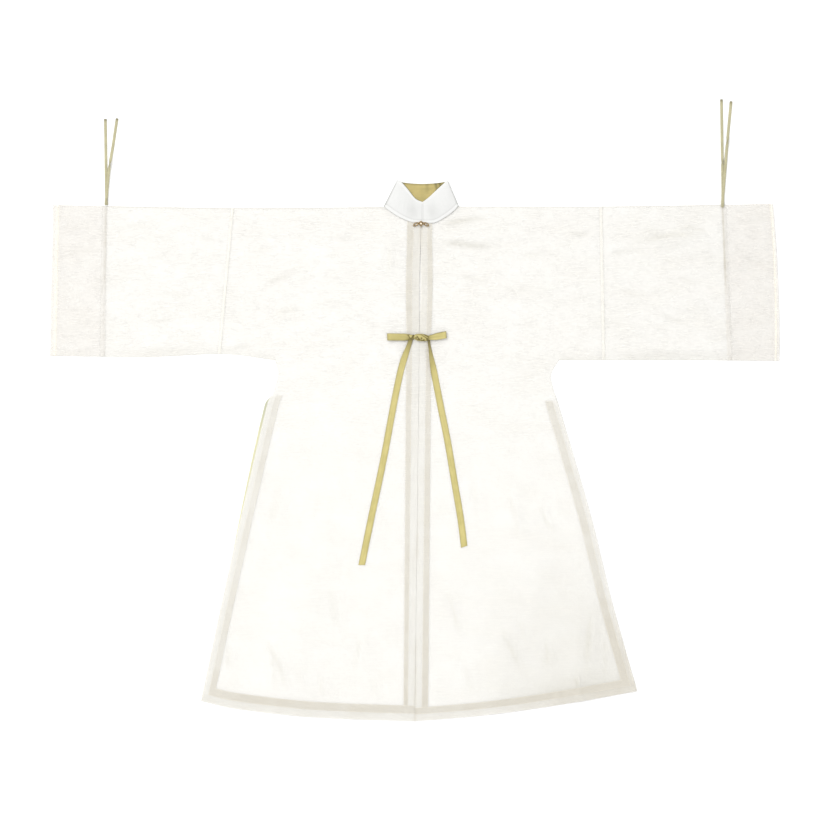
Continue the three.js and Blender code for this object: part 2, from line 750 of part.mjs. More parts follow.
/** One loop of the bow: out along the facing, round its end and back over itself. */
function bowLoop({ fromX, fromY, toX, toY, height }) {
  const start = new THREE.Vector3(fromX, fromY, 0);
  const along = new THREE.Vector3(toX - fromX, toY - fromY, 0);
  const length = along.length();
  along.normalize();
  const acrossway = new THREE.Vector3(-along.y, along.x, 0);
  const radius = (height - RIBBON.wall) / 2;
  const low = LEVEL.trim + RIBBON.wall / 2 + SEAM;
  const rings = [];
  const add = (out, up, turn) => {
    const point = start.clone().addScaledVector(along, out).setZ(up);
    const upward = along.clone().multiplyScalar(Math.sin(turn)).setZ(-Math.cos(turn));
    rings.push(ribbonRing(point, acrossway, upward, RIBBON.width, RIBBON.wall));
  };
  const runs = [0, 0.3, 0.6, 0.85];
  const straight = length - radius - RIBBON.wall / 2;
  const pinched = (part) => ease(part * 2.2);
  runs.forEach((part) => add(straight * part, low + radius * (1 - pinched(part)) * 0.4, 0));
  for (let step = 0; step <= 6; step += 1) {
    const turn = Math.PI * step / 6;
    add(straight + radius * Math.sin(turn), low + radius * (1 - Math.cos(turn)), turn);
  }
  [...runs].reverse().forEach((part) => {
    add(straight * part, low + 2 * radius - radius * (1 - pinched(part)) * 0.4, Math.PI);
  });
  return loft(rings);
}

/** The knot: the ribbon wrapped over itself, a low rounded bundle. */
function bowKnot() {
  const sides = 10;
  const stations = [-1, -0.86, -0.5, 0, 0.5, 0.86, 1];
  return loft(stations.map((station) => {
    const swell = 0.62 + 0.38 * Math.sqrt(1 - station * station * 0.98);
    const x = KNOT.x + station * (KNOT.length / 2 - SEAM);
    return Array.from({ length: sides }, (_, side) => {
      const turn = 2 * Math.PI * side / sides;
      const upward = KNOT.height / 2 * (1 + swell * Math.sin(turn));
      return new THREE.Vector3(x, KNOT.y + KNOT.width / 2 * swell * Math.cos(turn), KNOT.low + upward);
    });
  }));
}

/** The height of a tail's underside: it comes down off the placket onto the panel. */
function tailLow(half, x, y) {
  const off = Math.abs(x - centreX(y)) - placketWidth(half, y, 'whole') - RIBBON.width / 2;
  const onPlacket = 1 - ease((off - 1) / 18);
  return frontLow(half, x, y) + LAYER * (1 + onPlacket) + TAIL_CLEARANCE;
}

function bowTail(half, path) {
  const upward = new THREE.Vector3(0, 0, 1);
  return loft(smoothPath(path, TAIL_STEPS).map(({ point, along }) => {
    const acrossway = along.clone().cross(upward).normalize();
    point.setZ(tailLow(half, point.x, point.y) + RIBBON.wall / 2);
    return ribbonRing(point, acrossway, upward, RIBBON.width, RIBBON.wall);
  }));
}

// ---- drawstring ends ----------------------------------------------------------------------
function lace(path) {
  return loft(smoothPath(path, LACE.steps).map(({ point, along }) => {
    const acrossway = new THREE.Vector3(along.y, -along.x, 0).normalize();
    return Array.from({ length: LACE.sides }, (_, side) => {
      const turn = 2 * Math.PI * (side + 0.5) / LACE.sides;
      const squared = (value) => Math.sign(value) * Math.abs(value) ** 0.6;
      const ring = point.clone().addScaledVector(acrossway, LACE.width / 2 * squared(Math.cos(turn)));
      return ring.setZ(point.z + LACE.wall / 2 * (1 + squared(Math.sin(turn))));
    });
  }));
}

// ---- the clasp ----------------------------------------------------------------------------
function solidOf(geometry) {
  geometry.deleteAttribute('normal');
  geometry.deleteAttribute('uv');
  const merged = mergeVertices(geometry, 1e-4);
  return new wasm.Manifold(new wasm.Mesh({
    numProp: 3,
    vertProperties: new Float32Array(merged.getAttribute('position').array),
    triVerts: new Uint32Array(merged.getIndex().array),
  }));
}

function geometryOf(solid) {
  const mesh = solid.getMesh();
  const geometry = new THREE.BufferGeometry();
  geometry.setAttribute('position', new THREE.Float32BufferAttribute(mesh.vertProperties, 3));
  geometry.setIndex(Array.from(mesh.triVerts));
  return geometry;
}

function plate(shape, low, depth) {
  const geometry = new THREE.ExtrudeGeometry(shape, { depth, bevelEnabled: false, curveSegments: 8 });
  return solidOf(geometry.translate(0, 0, low));
}

/** An oval ring in plan: the open wing by which half of the clasp is sewn down. */
function claspWing(sign, low, depth) {
  const { away, drop, halfLength, halfWidth, turn, hole } = CLASP.wing;
  const centre = { x: CLASP.x + sign * away, y: CLASP.y - drop };
  const angle = THREE.MathUtils.degToRad(-sign * turn);
  const oval = new THREE.Shape();
  oval.absellipse(centre.x, centre.y, halfLength, halfWidth, 0, 2 * Math.PI, false, angle);
  const gap = new THREE.Path();
  gap.absellipse(centre.x, centre.y, halfLength * hole, halfWidth * hole, 0, 2 * Math.PI, true, angle);
  oval.holes.push(gap);
  return plate(oval, low, depth);
}

/** The left half: its wing, and the diamond frame that the bead is buttoned into. */
function claspFrame() {
  const { halfWidth, halfHeight, hole } = CLASP.diamond;
  const diamond = new THREE.Shape([
    new THREE.Vector2(CLASP.x - halfWidth, CLASP.y),
    new THREE.Vector2(CLASP.x, CLASP.y - halfHeight),
    new THREE.Vector2(CLASP.x + halfWidth, CLASP.y),
    new THREE.Vector2(CLASP.x, CLASP.y + halfHeight),
  ]);
  const eye = new THREE.Path();
  eye.absarc(CLASP.x, CLASP.y, hole, 0, 2 * Math.PI, true);
  diamond.holes.push(eye);
  const upper = CLASP.low + CLASP.plate + SEAM;
  const wing = claspWing(-1, CLASP.low, 2 * CLASP.plate + SEAM);
  return geometryOf(wing.add(plate(diamond, upper, CLASP.plate)));
}

/** The right half: its wing, and a tongue under the frame that carries the bead. */
function claspBead() {
  const { away } = CLASP.wing;
  const tongue = new THREE.Shape([
    new THREE.Vector2(CLASP.x - 1.6, CLASP.y - 1.6),
    new THREE.Vector2(CLASP.x + away - 4, CLASP.y - 1.9),
    new THREE.Vector2(CLASP.x + away - 4, CLASP.y + 1.5),
    new THREE.Vector2(CLASP.x - 1.6, CLASP.y + 1.6),
  ]);
  const { radius, rise } = CLASP.bead;
  const bead = new THREE.SphereGeometry(radius, 16, 10);
  bead.scale(1, 1, 0.8);
  bead.translate(CLASP.x, CLASP.y, CLASP.low + rise);
  const wing = claspWing(1, CLASP.low, CLASP.plate);
  return geometryOf(wing.add(plate(tongue, CLASP.low, CLASP.plate)).add(solidOf(bead)));
}

// ---- the robe -----------------------------------------------------------------------------
const robe = new THREE.Group();

function add(name, finish, geometry) {
  const material = new THREE.MeshStandardMaterial({ ...FINISH[finish], name });
  const mesh = new THREE.Mesh(geometry, material);
  mesh.name = name;
  robe.add(mesh);
}

/** Trims a facing by the seam's clearance where it meets the hem facing. */
function clearOfHem(half, geometry) {
  const hemTop = (x) => {
    const start = centreX(HEM_LOW);
    const across = Math.abs(x - start) / Math.abs(sideX(half, hemY(half, 1)) - start);
    return hemY(half, across) + half.hemFacing.width + SEAM * 2;
  };
  return shrinkAlongY(geometry, hemTop, Infinity);
}

for (const half of HALVES) {
  const panel = new FrontPanel(half);
  const sleeve = new SleeveFront(half);
  add(`back_${half.name}`, 'sheer', backPanel(half));
  add(`back_sleeve_${half.name}`, 'sheer', backSleeve(half));
  add(`back_slit_facing_${half.name}`, 'ivory', backSlitFacing(half));
  add(`back_hem_facing_${half.name}`, 'ivory', backHemFacing(half));
  add(`front_${half.name}`, 'sheer', panel.panel());
  add(`front_sleeve_${half.name}`, 'sheer', sleeve.panel());
  add(`cuff_facing_${half.name}`, 'ivory', sleeve.cuffFacing());
  add(`casing_${half.name}`, 'ivory', sleeve.casing());
  add(`placket_${half.name}`, 'ivory', clearOfHem(half, panel.placket()));
  add(`front_slit_facing_${half.name}`, 'ivory', clearOfHem(half, panel.slitFacing()));
  add(`front_hem_facing_${half.name}`, 'ivory', panel.hemFacing());
}
add('slit_binding', 'olive', slitBinding(HALVES[0]));

add('collar_back', 'collar', flatCloth(collarBackOutline(0), LEVEL.back));
add('collar_lining', 'olive', flatCloth(collarBackOutline(SEAM), LEVEL.backFacing));
for (const half of COLLAR_HALVES) add(`collar_${half.name}`, 'collar', collarHalf(half));

add('clasp_left', 'brass', claspFrame());
add('clasp_right', 'brass', claspBead());

add('bow_knot', 'olive', bowKnot());
for (const loop of LOOPS) add(`bow_loop_${loop.name}`, 'olive', bowLoop(loop));
TAILS.forEach((tail, side) => add(`bow_tail_${tail.name}`, 'olive', bowTail(HALVES[side], tail.path)));
for (const end of LACES) add(`lace_${end.name}`, 'olive', lace(end.path));

export default robe;
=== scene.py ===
"""A long unlined robe of sheer gauze, laid out flat on a table and dressed for display.

Lengths are in millimetres until a mesh is made. X runs along the sleeves, Y from the hem to the
collar and Z up from the table. Left and right are those of somebody looking down at the robe
with the collar at the top.
"""

from __future__ import annotations

import logging
import math
from dataclasses import dataclass, field
from enum import Enum
from typing import Any, Callable, Sequence, Union

import bpy
import numpy as np
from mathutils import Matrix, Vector

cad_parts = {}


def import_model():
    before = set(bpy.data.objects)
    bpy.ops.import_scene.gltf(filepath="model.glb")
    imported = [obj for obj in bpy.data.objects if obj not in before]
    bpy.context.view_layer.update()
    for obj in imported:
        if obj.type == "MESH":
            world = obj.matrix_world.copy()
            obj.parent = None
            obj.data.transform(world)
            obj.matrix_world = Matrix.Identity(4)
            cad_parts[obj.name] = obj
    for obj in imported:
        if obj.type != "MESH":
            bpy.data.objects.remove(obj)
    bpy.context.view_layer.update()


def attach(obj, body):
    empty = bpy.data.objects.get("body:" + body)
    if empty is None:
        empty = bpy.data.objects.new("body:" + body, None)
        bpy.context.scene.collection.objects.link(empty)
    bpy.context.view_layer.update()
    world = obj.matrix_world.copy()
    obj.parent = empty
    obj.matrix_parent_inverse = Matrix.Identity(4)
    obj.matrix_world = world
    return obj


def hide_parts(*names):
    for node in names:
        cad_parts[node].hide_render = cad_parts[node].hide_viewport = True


LOG = logging.getLogger("robe")
MM = 0.001
Array = np.ndarray
Number = Union[float, Array]
Plan = tuple[float, float]
# Shade values hold the density of doubled cloth together with painted shade and painted highlight.
Shade = Number  # how dense or dark a cloth looks, for all of it or for each point

# ---- driving sizes, as in the cut of the robe -----------------------------------------------
LAYER = 1.3
BACK_FACING_LOW = 1.3
TRIM_LOW = 5.2
CENTRE_TOP: Plan = (14.6, 526.0)
CENTRE_FOOT: Plan = (0.7, -635.0)
GAPE_TOP = 490.0
GAPE_FOOT = 284.0
GAPE_HALF = 2.0
OPENING_HALF = 0.3
HEM_LOW = -635.0
UNDERARM_Y = 213.0
PINCH = 24.0
NECK_REST = 12.0
NECK_LEFT: Plan = (-73.0, 572.8)
NECK_RIGHT: Plan = (106.0, 574.0)
NECK_DIP = 11.0

# ---- how the visible cloth lies -------------------------------------------------------------
CLOTH = 0.26  # thickness of one layer of gauze
BACK_REST = 0.12  # underside of the back above the table
EDGE_REST = 0.72  # underside of the front where it folds or is sewn to the back
LIP = 2.6  # radius of a closed edge
PLY = CLOTH + 0.12  # from one ply of a facing to the next
TURNED_SHADE = 0.72  # shade value of a strip with its edge turned under
WING_WIDE = 115.0  # a collar wing from its outer fold to the centre
WING_TALL = 62.0  # a collar wing from the neck to the rim
TUBE_ROUND = 10.0  # width given on the flat to the round of a tube


# ---- small helpers --------------------------------------------------------------------------
def mix(start: Number, end: Number, part: Number) -> Number:
    """Goes from start to end as part goes from 0 to 1."""
    return start + (end - start) * part


def ease(part: Number) -> Array:
    """A smooth step from 0 to 1."""
    held = np.clip(part, 0.0, 1.0)
    return held * held * (3.0 - 2.0 * held)


def bell(distance: Number, width: Number) -> Array:
    """A soft bump, 1 in the middle."""
    return np.exp(-((np.asarray(distance) / width) ** 2))


def ripple(u: Number, v: Number, seed: int) -> Array:
    """Smooth unevenness from -1 to 1 that changes over one unit of u and v.

    Args:
        u: First coordinate.
        v: Second coordinate.
        seed: A fixed number, so that it is the same each time.

    Returns:
        The unevenness at each place.
    """
    u, v = np.broadcast_arrays(np.asarray(u, float), np.asarray(v, float))
    cell_u, cell_v = np.floor(u), np.floor(v)
    part_u, part_v = ease(u - cell_u), ease(v - cell_v)

    def corner(step_u: int, step_v: int) -> Array:
        """One fixed value for each corner of a unit cell."""
        mixed = np.sin((cell_u + step_u) * 12.9898 + (cell_v + step_v) * 78.233 + seed * 37.719)
        return 2.0 * np.mod(mixed * 43758.5453, 1.0) - 1.0

    near = mix(corner(0, 0), corner(1, 0), part_u)
    far = mix(corner(0, 1), corner(1, 1), part_u)
    return mix(near, far, part_v)


def spread(start: float, end: float, count: int) -> list[float]:
    """Evenly spread values after start, up to and with end."""
    return [mix(start, end, (step + 1) / count) for step in range(count)]


def place_of(x: Number, y: Number, z: Number) -> Array:
    """Points from their three coordinates."""
    return np.stack([x, y, z], -1)


def run_along(path: Array) -> Array:
    """How far along a path each of its points is."""
    return np.concatenate([[0.0], np.cumsum(np.linalg.norm(np.diff(path, axis=0), axis=1))])


def round_turns(count: int) -> Array:
    """Even angles round a circle."""
    return np.arange(count) * 2.0 * np.pi / count


@dataclass(frozen=True)
class Curve:
    """A short table of (from, to) rows, read on a smooth curve."""

    rows: tuple[Plan, ...]

    def at(self, where: Number) -> Array:
        """Reads the table at each place."""
        knots = np.array(self.rows, float)
        across, value = knots[:, 0], knots[:, 1]
        last = len(across) - 1
        where = np.asarray(where, float)
        index = np.clip(np.searchsorted(across, where, side="left") - 1, 0, last - 1)
        before = np.maximum(np.arange(last + 1) - 1, 0)
        after = np.minimum(np.arange(last + 1) + 1, last)
        slope = (value[after] - value[before]) / (across[after] - across[before])
        span = across[index + 1] - across[index]
        part = np.clip((where - across[index]) / span, 0.0, 1.0)
        rest = 1.0 - part
        bend = part * rest * span * (slope[index] * rest - slope[index + 1] * part)
        rise = value[index + 1] - value[index]
        return value[index] + rise * part + bend + rise * part * rest * (2.0 * part - 1.0)


@dataclass(frozen=True)
class Fold:
    """One of the largest folds: a soft ridge about a straight line."""

    x: float
    y: float
    turn: float
    length: float
    width: float
    height: float

    def rise(self, x: Array, y: Array) -> Array:
        """The height that the fold adds at each place."""
        turn = math.radians(self.turn)
        along = (x - self.x) * math.cos(turn) + (y - self.y) * math.sin(turn)
        across = (y - self.y) * math.cos(turn) - (x - self.x) * math.sin(turn)
        return self.height * bell(along, self.length) * bell(across, self.width)


@dataclass(frozen=True)
class Crease:
    """A soft crease: a ridge with a shallow trough beside it, along a slightly bowed line."""

    start: Plan
    end: Plan
    width: float
    height: float
    bow: float = 0.0

    def trace(self, x: Array, y: Array) -> tuple[Array, Array, Array]:
        """Reads the crease at each place: its strength, how far the place is from it, its width."""
        run_x, run_y = self.end[0] - self.start[0], self.end[1] - self.start[1]
        length = math.hypot(run_x, run_y)
        part = ((x - self.start[0]) * run_x + (y - self.start[1]) * run_y) / length**2
        side = ((y - self.start[1]) * run_x - (x - self.start[0]) * run_y) / length
        seed = int(abs(self.start[0]) + abs(self.end[1]))
        held = np.clip(part, 0.0, 1.0)
        bowed = self.bow * 4.0 * held * (1.0 - held)
        side = side - bowed - 0.3 * self.width * ripple(part * 4.0, 0.5, seed)
        fade = ease(part * 2.6) * ease((1.0 - part) * 2.6)
        width = self.width * (0.8 + 0.4 * held)
        uneven = 1.0 + 0.35 * ripple(part * 3.0, 0.2, seed + 5)
        return self.height * fade * uneven, side, width

    def rise(self, x: Array, y: Array) -> Array:
        """The height that the crease adds at each place."""
        strength, side, width = self.trace(x, y)
        return strength * (bell(side, width) - 0.5 * bell(side + 2.0 * width, 1.3 * width))

    def trough_shade(self, x: Array, y: Array) -> Array:
        """Painted shade at each place, along the trough beside the ridge where the cloth is folded closely.
        """
        strength, side, width = self.trace(x, y)
        beside = np.maximum(strength, 0.0) * bell(side + 1.2 * width, 0.7 * width)
        return beside - np.minimum(strength, 0.0) * bell(side, 0.8 * width)


FOLDS = (
    Fold(132, 512, 4, 90, 34, 3.0),
    Fold(-74, 470, 88, 80, 36, 2.6),
    Fold(-245, 420, 8, 150, 40, 2.2),
    Fold(290, 385, -10, 140, 42, 2.4),
    Fold(655, 500, -6, 100, 34, 3.4),
    Fold(560, 330, 14, 130, 38, 2.4),
    Fold(-600, 400, -9, 140, 42, 2.6),
    Fold(-250, -330, 78, 210, 46, 3.6),
    Fold(-270, -520, 96, 90, 36, 3.2),
    Fold(262, -250, 104, 220, 46, 3.6),
    Fold(392, -480, 95, 120, 38, 4.2),
    Fold(205, -520, 84, 110, 40, 2.8),
    Fold(-360, -160, 74, 150, 40, 2.4),
)

# The creases of the top layer, from the left cuff to the right hem.
CREASES = (
    Crease((-850, 454), (-735, 486), 6, 0.9, 3),
    Crease((-846, 524), (-758, 531), 6, 0.8),
    Crease((-850, 236), (-735, 256), 11, 1.3, -4),
    Crease((-842, 330), (-760, 352), 7, 0.7),
    Crease((-700, 530), (-610, 541), 7, 0.8, 3),
    Crease((-627, 307), (-551, 328), 6, 1.0, -2),
    Crease((-605, 373), (-528, 368), 6, 0.9, 3),
    Crease((-690, 240), (-490, 247), 9, 1.1, 2),
    Crease((-640, 455), (-560, 470), 7, 0.8, 2),
    Crease((-520, 512), (-440, 500), 7, 0.8, -2),
    Crease((-492, 378), (-432, 381), 5, 0.8),
    Crease((-457, 236), (-374, 258), 7, 1.6, 3),
    Crease((-400, 470), (-330, 486), 6, 0.7, 2),
    Crease((-363, 397), (-290, 427), 6, 1.0, -3),
    Crease((-340, 330), (-260, 345), 8, 0.7, 2),
    Crease((-217, 460), (-172, 468), 5, 0.9),
    Crease((-205, 515), (-120, 505), 7, 0.8, -3),
    Crease((-56, 500), (-57, 398), 4.5, 1.7, 2),
    Crease((-34, 470), (-36, 330), 6, 0.6, -2),
    Crease((46, 534), (184, 557), 8, 2.2, 5),
    Crease((50, 503), (196, 490), 9, 1.9, -4),
    Crease((44, 519), (118, 521), 5, -1.1),
    Crease((95, 420), (180, 404), 8, 0.8, 3),
    Crease((205, 395), (255, 362), 6, 0.9, 2),
    Crease((230, 470), (330, 480), 8, 0.7, -3),
    Crease((355, 520), (420, 516), 7, 0.8),
    Crease((450, 470), (540, 478), 8, 0.8, 3),
    Crease((696, 496), (518, 478), 10, 2.2, -7),
    Crease((598, 517), (704, 507), 5, -2.0, 10),
    Crease((528, 514), (586, 514), 11, -0.9),
    Crease((470, 390), (560, 372), 7, 0.9, -3),
    Crease((560, 330), (650, 300), 7, 0.9, 3),
    Crease((600, 420), (690, 404), 7, 0.8, -3),
    Crease((410, 237), (848, 233), 15, 1.4, 3),
    Crease((733, 274), (755, 246), 5, 2.0, 2),
    Crease((732, 262), (694, 248), 6, 1.1),
    Crease((752, 540), (838, 556), 7, 0.9, 2),
    Crease((760, 470), (842, 440), 8, 0.8, -3),
    Crease((756, 330), (846, 300), 8, 0.8, 3),
    Crease((-345, -433), (-292, -572), 7, 1.9, 8),
    Crease((-337, -456), (-317, -572), 6, 1.4, 5),
    Crease((-439, -433), (-428, -525), 7, 1.4, 3),
    Crease((-270, -470), (-248, -562), 8, 1.0, -4),
    Crease((-216, -512), (-207, -585), 7, 1.2),
    Crease((-122, -430), (-135, -520), 8, 1.2, 3),
    Crease((-180, -300), (-160, -430), 12, 0.9, -5),
    Crease((-90, -520), (-84, -590), 7, 0.8),
    Crease((-300, -60), (-330, -190), 12, 0.8, 5),
    Crease((224, -86), (254, -215), 8, 1.4, 4),
    Crease((295, -116), (343, -194), 8, 1.2, -3),
    Crease((77, -309), (117, -440), 7, 1.5, 3),
    Crease((120, -470), (150, -575), 9, 0.9, -3),
    Crease((207, -404), (266, -517), 8, 1.5, -3),
    Crease((248, -380), (272, -452), 7, 1.1),
    Crease((312, -433), (322, -517), 7, 1.4, 2),
    Crease((383, -502), (389, -612), 4, 2.6, 1),
    Crease((336, -550), (341, -596), 6, 1.4),
    Crease((424, -366), (416, -545), 9, 1.9, -3),
    Crease((450, -430), (453, -548), 5, 1.2, 2),
    Crease((150, -40), (172, -180), 12, 0.7, -4),
)


# ---- the cut of one half --------------------------------------------------------------------
@dataclass(frozen=True)
class SleeveLine:
    """A line across a sleeve, from the top fold to the seam below."""

    top_x: float
    foot_x: float
    bow: float = 0.0

    def x(self, part: Number) -> Number:
        """Where the line stands, a part of the way down."""
        return mix(self.top_x, self.foot_x, part) + self.bow * 4.0 * part * (1.0 - part)

    def shifted(self, by: float) -> SleeveLine:
        """The same line moved along the sleeve."""
        return SleeveLine(self.top_x + by, self.foot_x + by, self.bow)

    def toward(self, other: SleeveLine, part: float) -> SleeveLine:
        """A line a part of the way to another line."""
        return SleeveLine(
            mix(self.top_x, other.top_x, part),
            mix(self.foot_x, other.foot_x, part),
            mix(self.bow, other.bow, part),
        )


@dataclass(frozen=True)
class Half:
    """The cut of one half of the robe."""

    name: str
    sign: int
    slit_top: float
    underarm_x: float
    placket_top: float
    placket_foot: float
    placket_light: float
    slit_width: float
    slit_light: float
    hem_width: float
    hem_light: float
    seam: SleeveLine
    casing: SleeveLine
    cuff: SleeveLine
    fold: Curve
    neck: Curve
    foot: Curve
    side: Curve
    hem: Curve

    @property
    def neck_end(self) -> float:
        """Where the neck meets the shoulder."""
        return self.neck.rows[0 if self.sign < 0 else -1][0]

    def top_y(self, x: Number) -> Array:
        """The top edge of the front."""
        x = np.asarray(x, float)
        in_neck = x * self.sign < self.neck_end * self.sign
        return np.where(in_neck, self.neck.at(x), self.fold.at(x))

    def back_top_y(self, x: Number) -> Array:
        """The top edge of the back."""
        x = np.asarray(x, float)
        in_neck = x * self.sign < self.neck_end * self.sign
        return np.where(in_neck, back_neck_y(x), self.fold.at(x))

    def side_x(self, y: Number) -> Array:
        """The side seam, and below it the edge of the slit."""
        y = np.asarray(y, float)
        return np.where(y >= UNDERARM_Y, self.underarm_x, self.side.at(y))

    def hem_y(self, across: Number) -> Array:
        """The hem, from the centre front at 0 to the corner at 1."""
        return HEM_LOW + self.hem.at(across)

    def placket_width(self, y: Number) -> Array:
        """The width of the band beside the opening."""
        part = (np.asarray(y, float) - CENTRE_FOOT[1]) / (CENTRE_TOP[1] - CENTRE_FOOT[1])
        return mix(self.placket_foot, self.placket_top, part)

    def edge_distances(self, x: Array, y: Array) -> tuple[Array, Array, Array]:
        """How far each place is from the top fold, the sleeve's seam and the side seam."""
        beyond_neck = np.abs(x) > abs(self.neck_end) - 1.0
        beyond_side = x * self.sign >= self.underarm_x * self.sign
        to_top = np.where(beyond_neck, self.top_y(x) - y, PINCH)
        near_foot = beyond_side & (y > UNDERARM_Y - 40.0)
        to_foot = np.where(near_foot, y - self.foot.at(x), PINCH)
        to_side = np.where(beyond_side, PINCH, np.abs(self.side_x(y) - x))
        return to_top, to_foot, to_side

    def freedom(self, x: Array, y: Array) -> Array:
        """How close each place is to being held down: 0 at a fold or seam, 1 clear of them."""
        to_top, to_foot, to_side = self.edge_distances(x, y)
        sewn = ease((y - self.slit_top) / 30.0) * ease((UNDERARM_Y + PINCH - y) / PINCH)
        to_side = mix(PINCH, np.minimum(to_side, PINCH), sewn)
        nearest = np.minimum(np.minimum(to_top, to_foot), np.minimum(to_side, PINCH))
        return ease(nearest / PINCH)

    def lip(self, x: Array, y: Array) -> Array:
        """The round of a closed edge: 0 at the edge, 1 from its radius inwards."""
        to_top, to_foot, to_side = self.edge_distances(x, y)
        sewn = (y >= self.slit_top) & (y <= UNDERARM_Y + LIP)
        to_side = np.where(sewn, to_side, PINCH)
        nearest = np.minimum(np.minimum(to_top, to_foot), to_side)
        return np.sqrt(1.0 - (1.0 - np.clip(nearest / LIP, 0.0, 1.0)) ** 2)

    def front_low(self, x: Array, y: Array) -> Array:
        """The underside of the front where it has only its largest folds."""
        below_top = ease((self.top_y(x) - y - NECK_REST) / (2.0 * PINCH))
        folds = sum(fold.rise(x, y) for fold in FOLDS)
        return BACK_FACING_LOW + self.freedom(x, y) * (LAYER + below_top * folds)

    def gather(self, x: Array, y: Array) -> Array:
        """Small puckers on both sides of the drawstring casing."""
        part = np.clip((self.top_y(x) - y) / 360.0, 0.0, 1.0)
        away = np.abs(x - self.casing.x(part) - self.sign * 6.0)
        uneven = ripple(y / 9.5, away / 60.0, 31 + self.sign)
        fine = ripple(y / 5.5, away / 30.0, 57 + self.sign)
        return (0.55 * uneven + 0.25 * fine) * np.exp(-np.maximum(away - 6.0, 0.0) / 22.0)

    def front_height(self, x: Array, y: Array) -> Array:
        """The underside of the front with all its creases."""
        x, y = np.asarray(x, float), np.asarray(y, float)
        below_top = ease((self.top_y(x) - y - 4.0) / 20.0)
        creases = 1.35 * sum(crease.rise(x, y) for crease in CREASES if crease.start[0] * self.sign > -60.0)
        on_sleeve = ease((y - 170.0) / 90.0)
        lengthwise = 0.34 * ripple(x / 46.0, (y - 0.22 * x) / 11.0, 3) + 0.2 * ripple(x / 21.0, y / 7.0, 4)
        downwards = 0.55 * ripple((x - 0.16 * y * self.sign) / 24.0, y / 120.0, 7)
        loose = creases + mix(downwards, lengthwise, on_sleeve) + self.gather(x, y)
        loose = np.maximum(loose, -1.05)
        full = self.front_low(x, y) + 0.12 + self.freedom(x, y) * below_top * loose
        return mix(EDGE_REST, full, self.lip(x, y))

    def front_painted_shade(self, x: Array, y: Array) -> Array:
        """Painted shade on the front: in the troughs of creases, along its folds and edges, along the
        sleeve's foot, and toward the lower right, where the light falls off.
        """
        crease_shade = sum(crease.trough_shade(x, y) for crease in CREASES if crease.start[0] * self.sign > -60.0)
        to_top, to_foot, _ = self.edge_distances(x, y)
        # Painted shade: a dark line along the top fold and where the cloth turns over a closed edge.
        edge = 0.85 * (1.0 - self.lip(x, y)) + (0.5 if self.sign < 0 else 0.32) * bell(to_top - 1.4, 1.6)
        # Painted shade: an uneven grey band along the sleeve's foot.
        foot_shade_strength = 0.16 + 0.12 * ripple(x / 34.0, 0.4, 47 + self.sign)
        foot = foot_shade_strength * bell(to_foot - 5.0, 7.0) * (to_foot < PINCH)
        # Painted shade: darker toward the lower right corner, where the light falls off.
        corner = 0.34 * ease((x - 40.0) / 380.0) * ease((-y - 120.0) / 380.0)
        corner = corner + 0.5 * ease((x - 120.0) / 330.0) * ease((-y - 500.0) / 90.0)
        return np.clip(0.23 * crease_shade * self.freedom(x, y) + edge + foot + corner, 0.0, 0.85)

    def back_height(self, x: Array, y: Array) -> Array:
        """The underside of the back: it lies on the table with slight creases of its own."""
        creases = sum(crease.rise(x - 37.0, y - 16.0) for crease in CREASES)
        waves = 0.5 + 0.5 * ripple(x / 38.0, y / 64.0, 11)
        free = self.freedom(x, y)
        return BACK_REST + free * np.clip(0.16 * waves + 0.1 * creases, 0.0, 0.4)


def back_neck_y(x: Number) -> Array:
    """The back neck, a shallow hollow between the shoulders."""
    part = np.clip((np.asarray(x, float) - NECK_LEFT[0]) / (NECK_RIGHT[0] - NECK_LEFT[0]), 0.0, 1.0)
    return mix(NECK_LEFT[1], NECK_RIGHT[1], part) - NECK_DIP * 4.0 * part * (1.0 - part)


def centre_x(y: Number) -> Array:
    """The line of the front opening."""
    part = (np.asarray(y, float) - CENTRE_FOOT[1]) / (CENTRE_TOP[1] - CENTRE_FOOT[1])
    return mix(CENTRE_FOOT[0], CENTRE_TOP[0], part)


def opening_x(y: Number) -> Array:
    """How far a front stands back from the line of the opening."""
    part = np.clip((np.asarray(y, float) - GAPE_FOOT) / (GAPE_TOP - GAPE_FOOT), 0.0, 1.0)
    return OPENING_HALF + GAPE_HALF * np.sin(np.pi * part)


LEFT = Half(
    name="left",
    sign=-1,
    slit_top=130,
    underarm_x=-328,
    placket_top=31,
    placket_foot=26,
    placket_light=17,
    slit_width=27,
    slit_light=14,
    hem_width=36,
    hem_light=18,
    seam=SleeveLine(-424, -455),
    casing=SleeveLine(-722, -727),
    cuff=SleeveLine(-849.5, -856.6),
    fold=Curve(((-849.5, 577.5), (-424, 570.5), (-73, 572.8))),
    neck=Curve(((-73, 572.8), (-52, 567), (-14, 546), (16, 540))),
    foot=Curve(((-856.6, 222.7), (-620, 220.5), (-445, 227), (-328, 213))),
    side=Curve(
        (
            (-587.4, -501.7),
            (-350, -451.5),
            (-116, -399),
            (113, -345),
            (130, -337),
            (155, -326),
            (182, -320),
            (213, -328),
        )
    ),
    hem=Curve(((0, 0), (0.3, 4.7), (0.54, 11.7), (0.86, 31), (1, 47.6))),
)
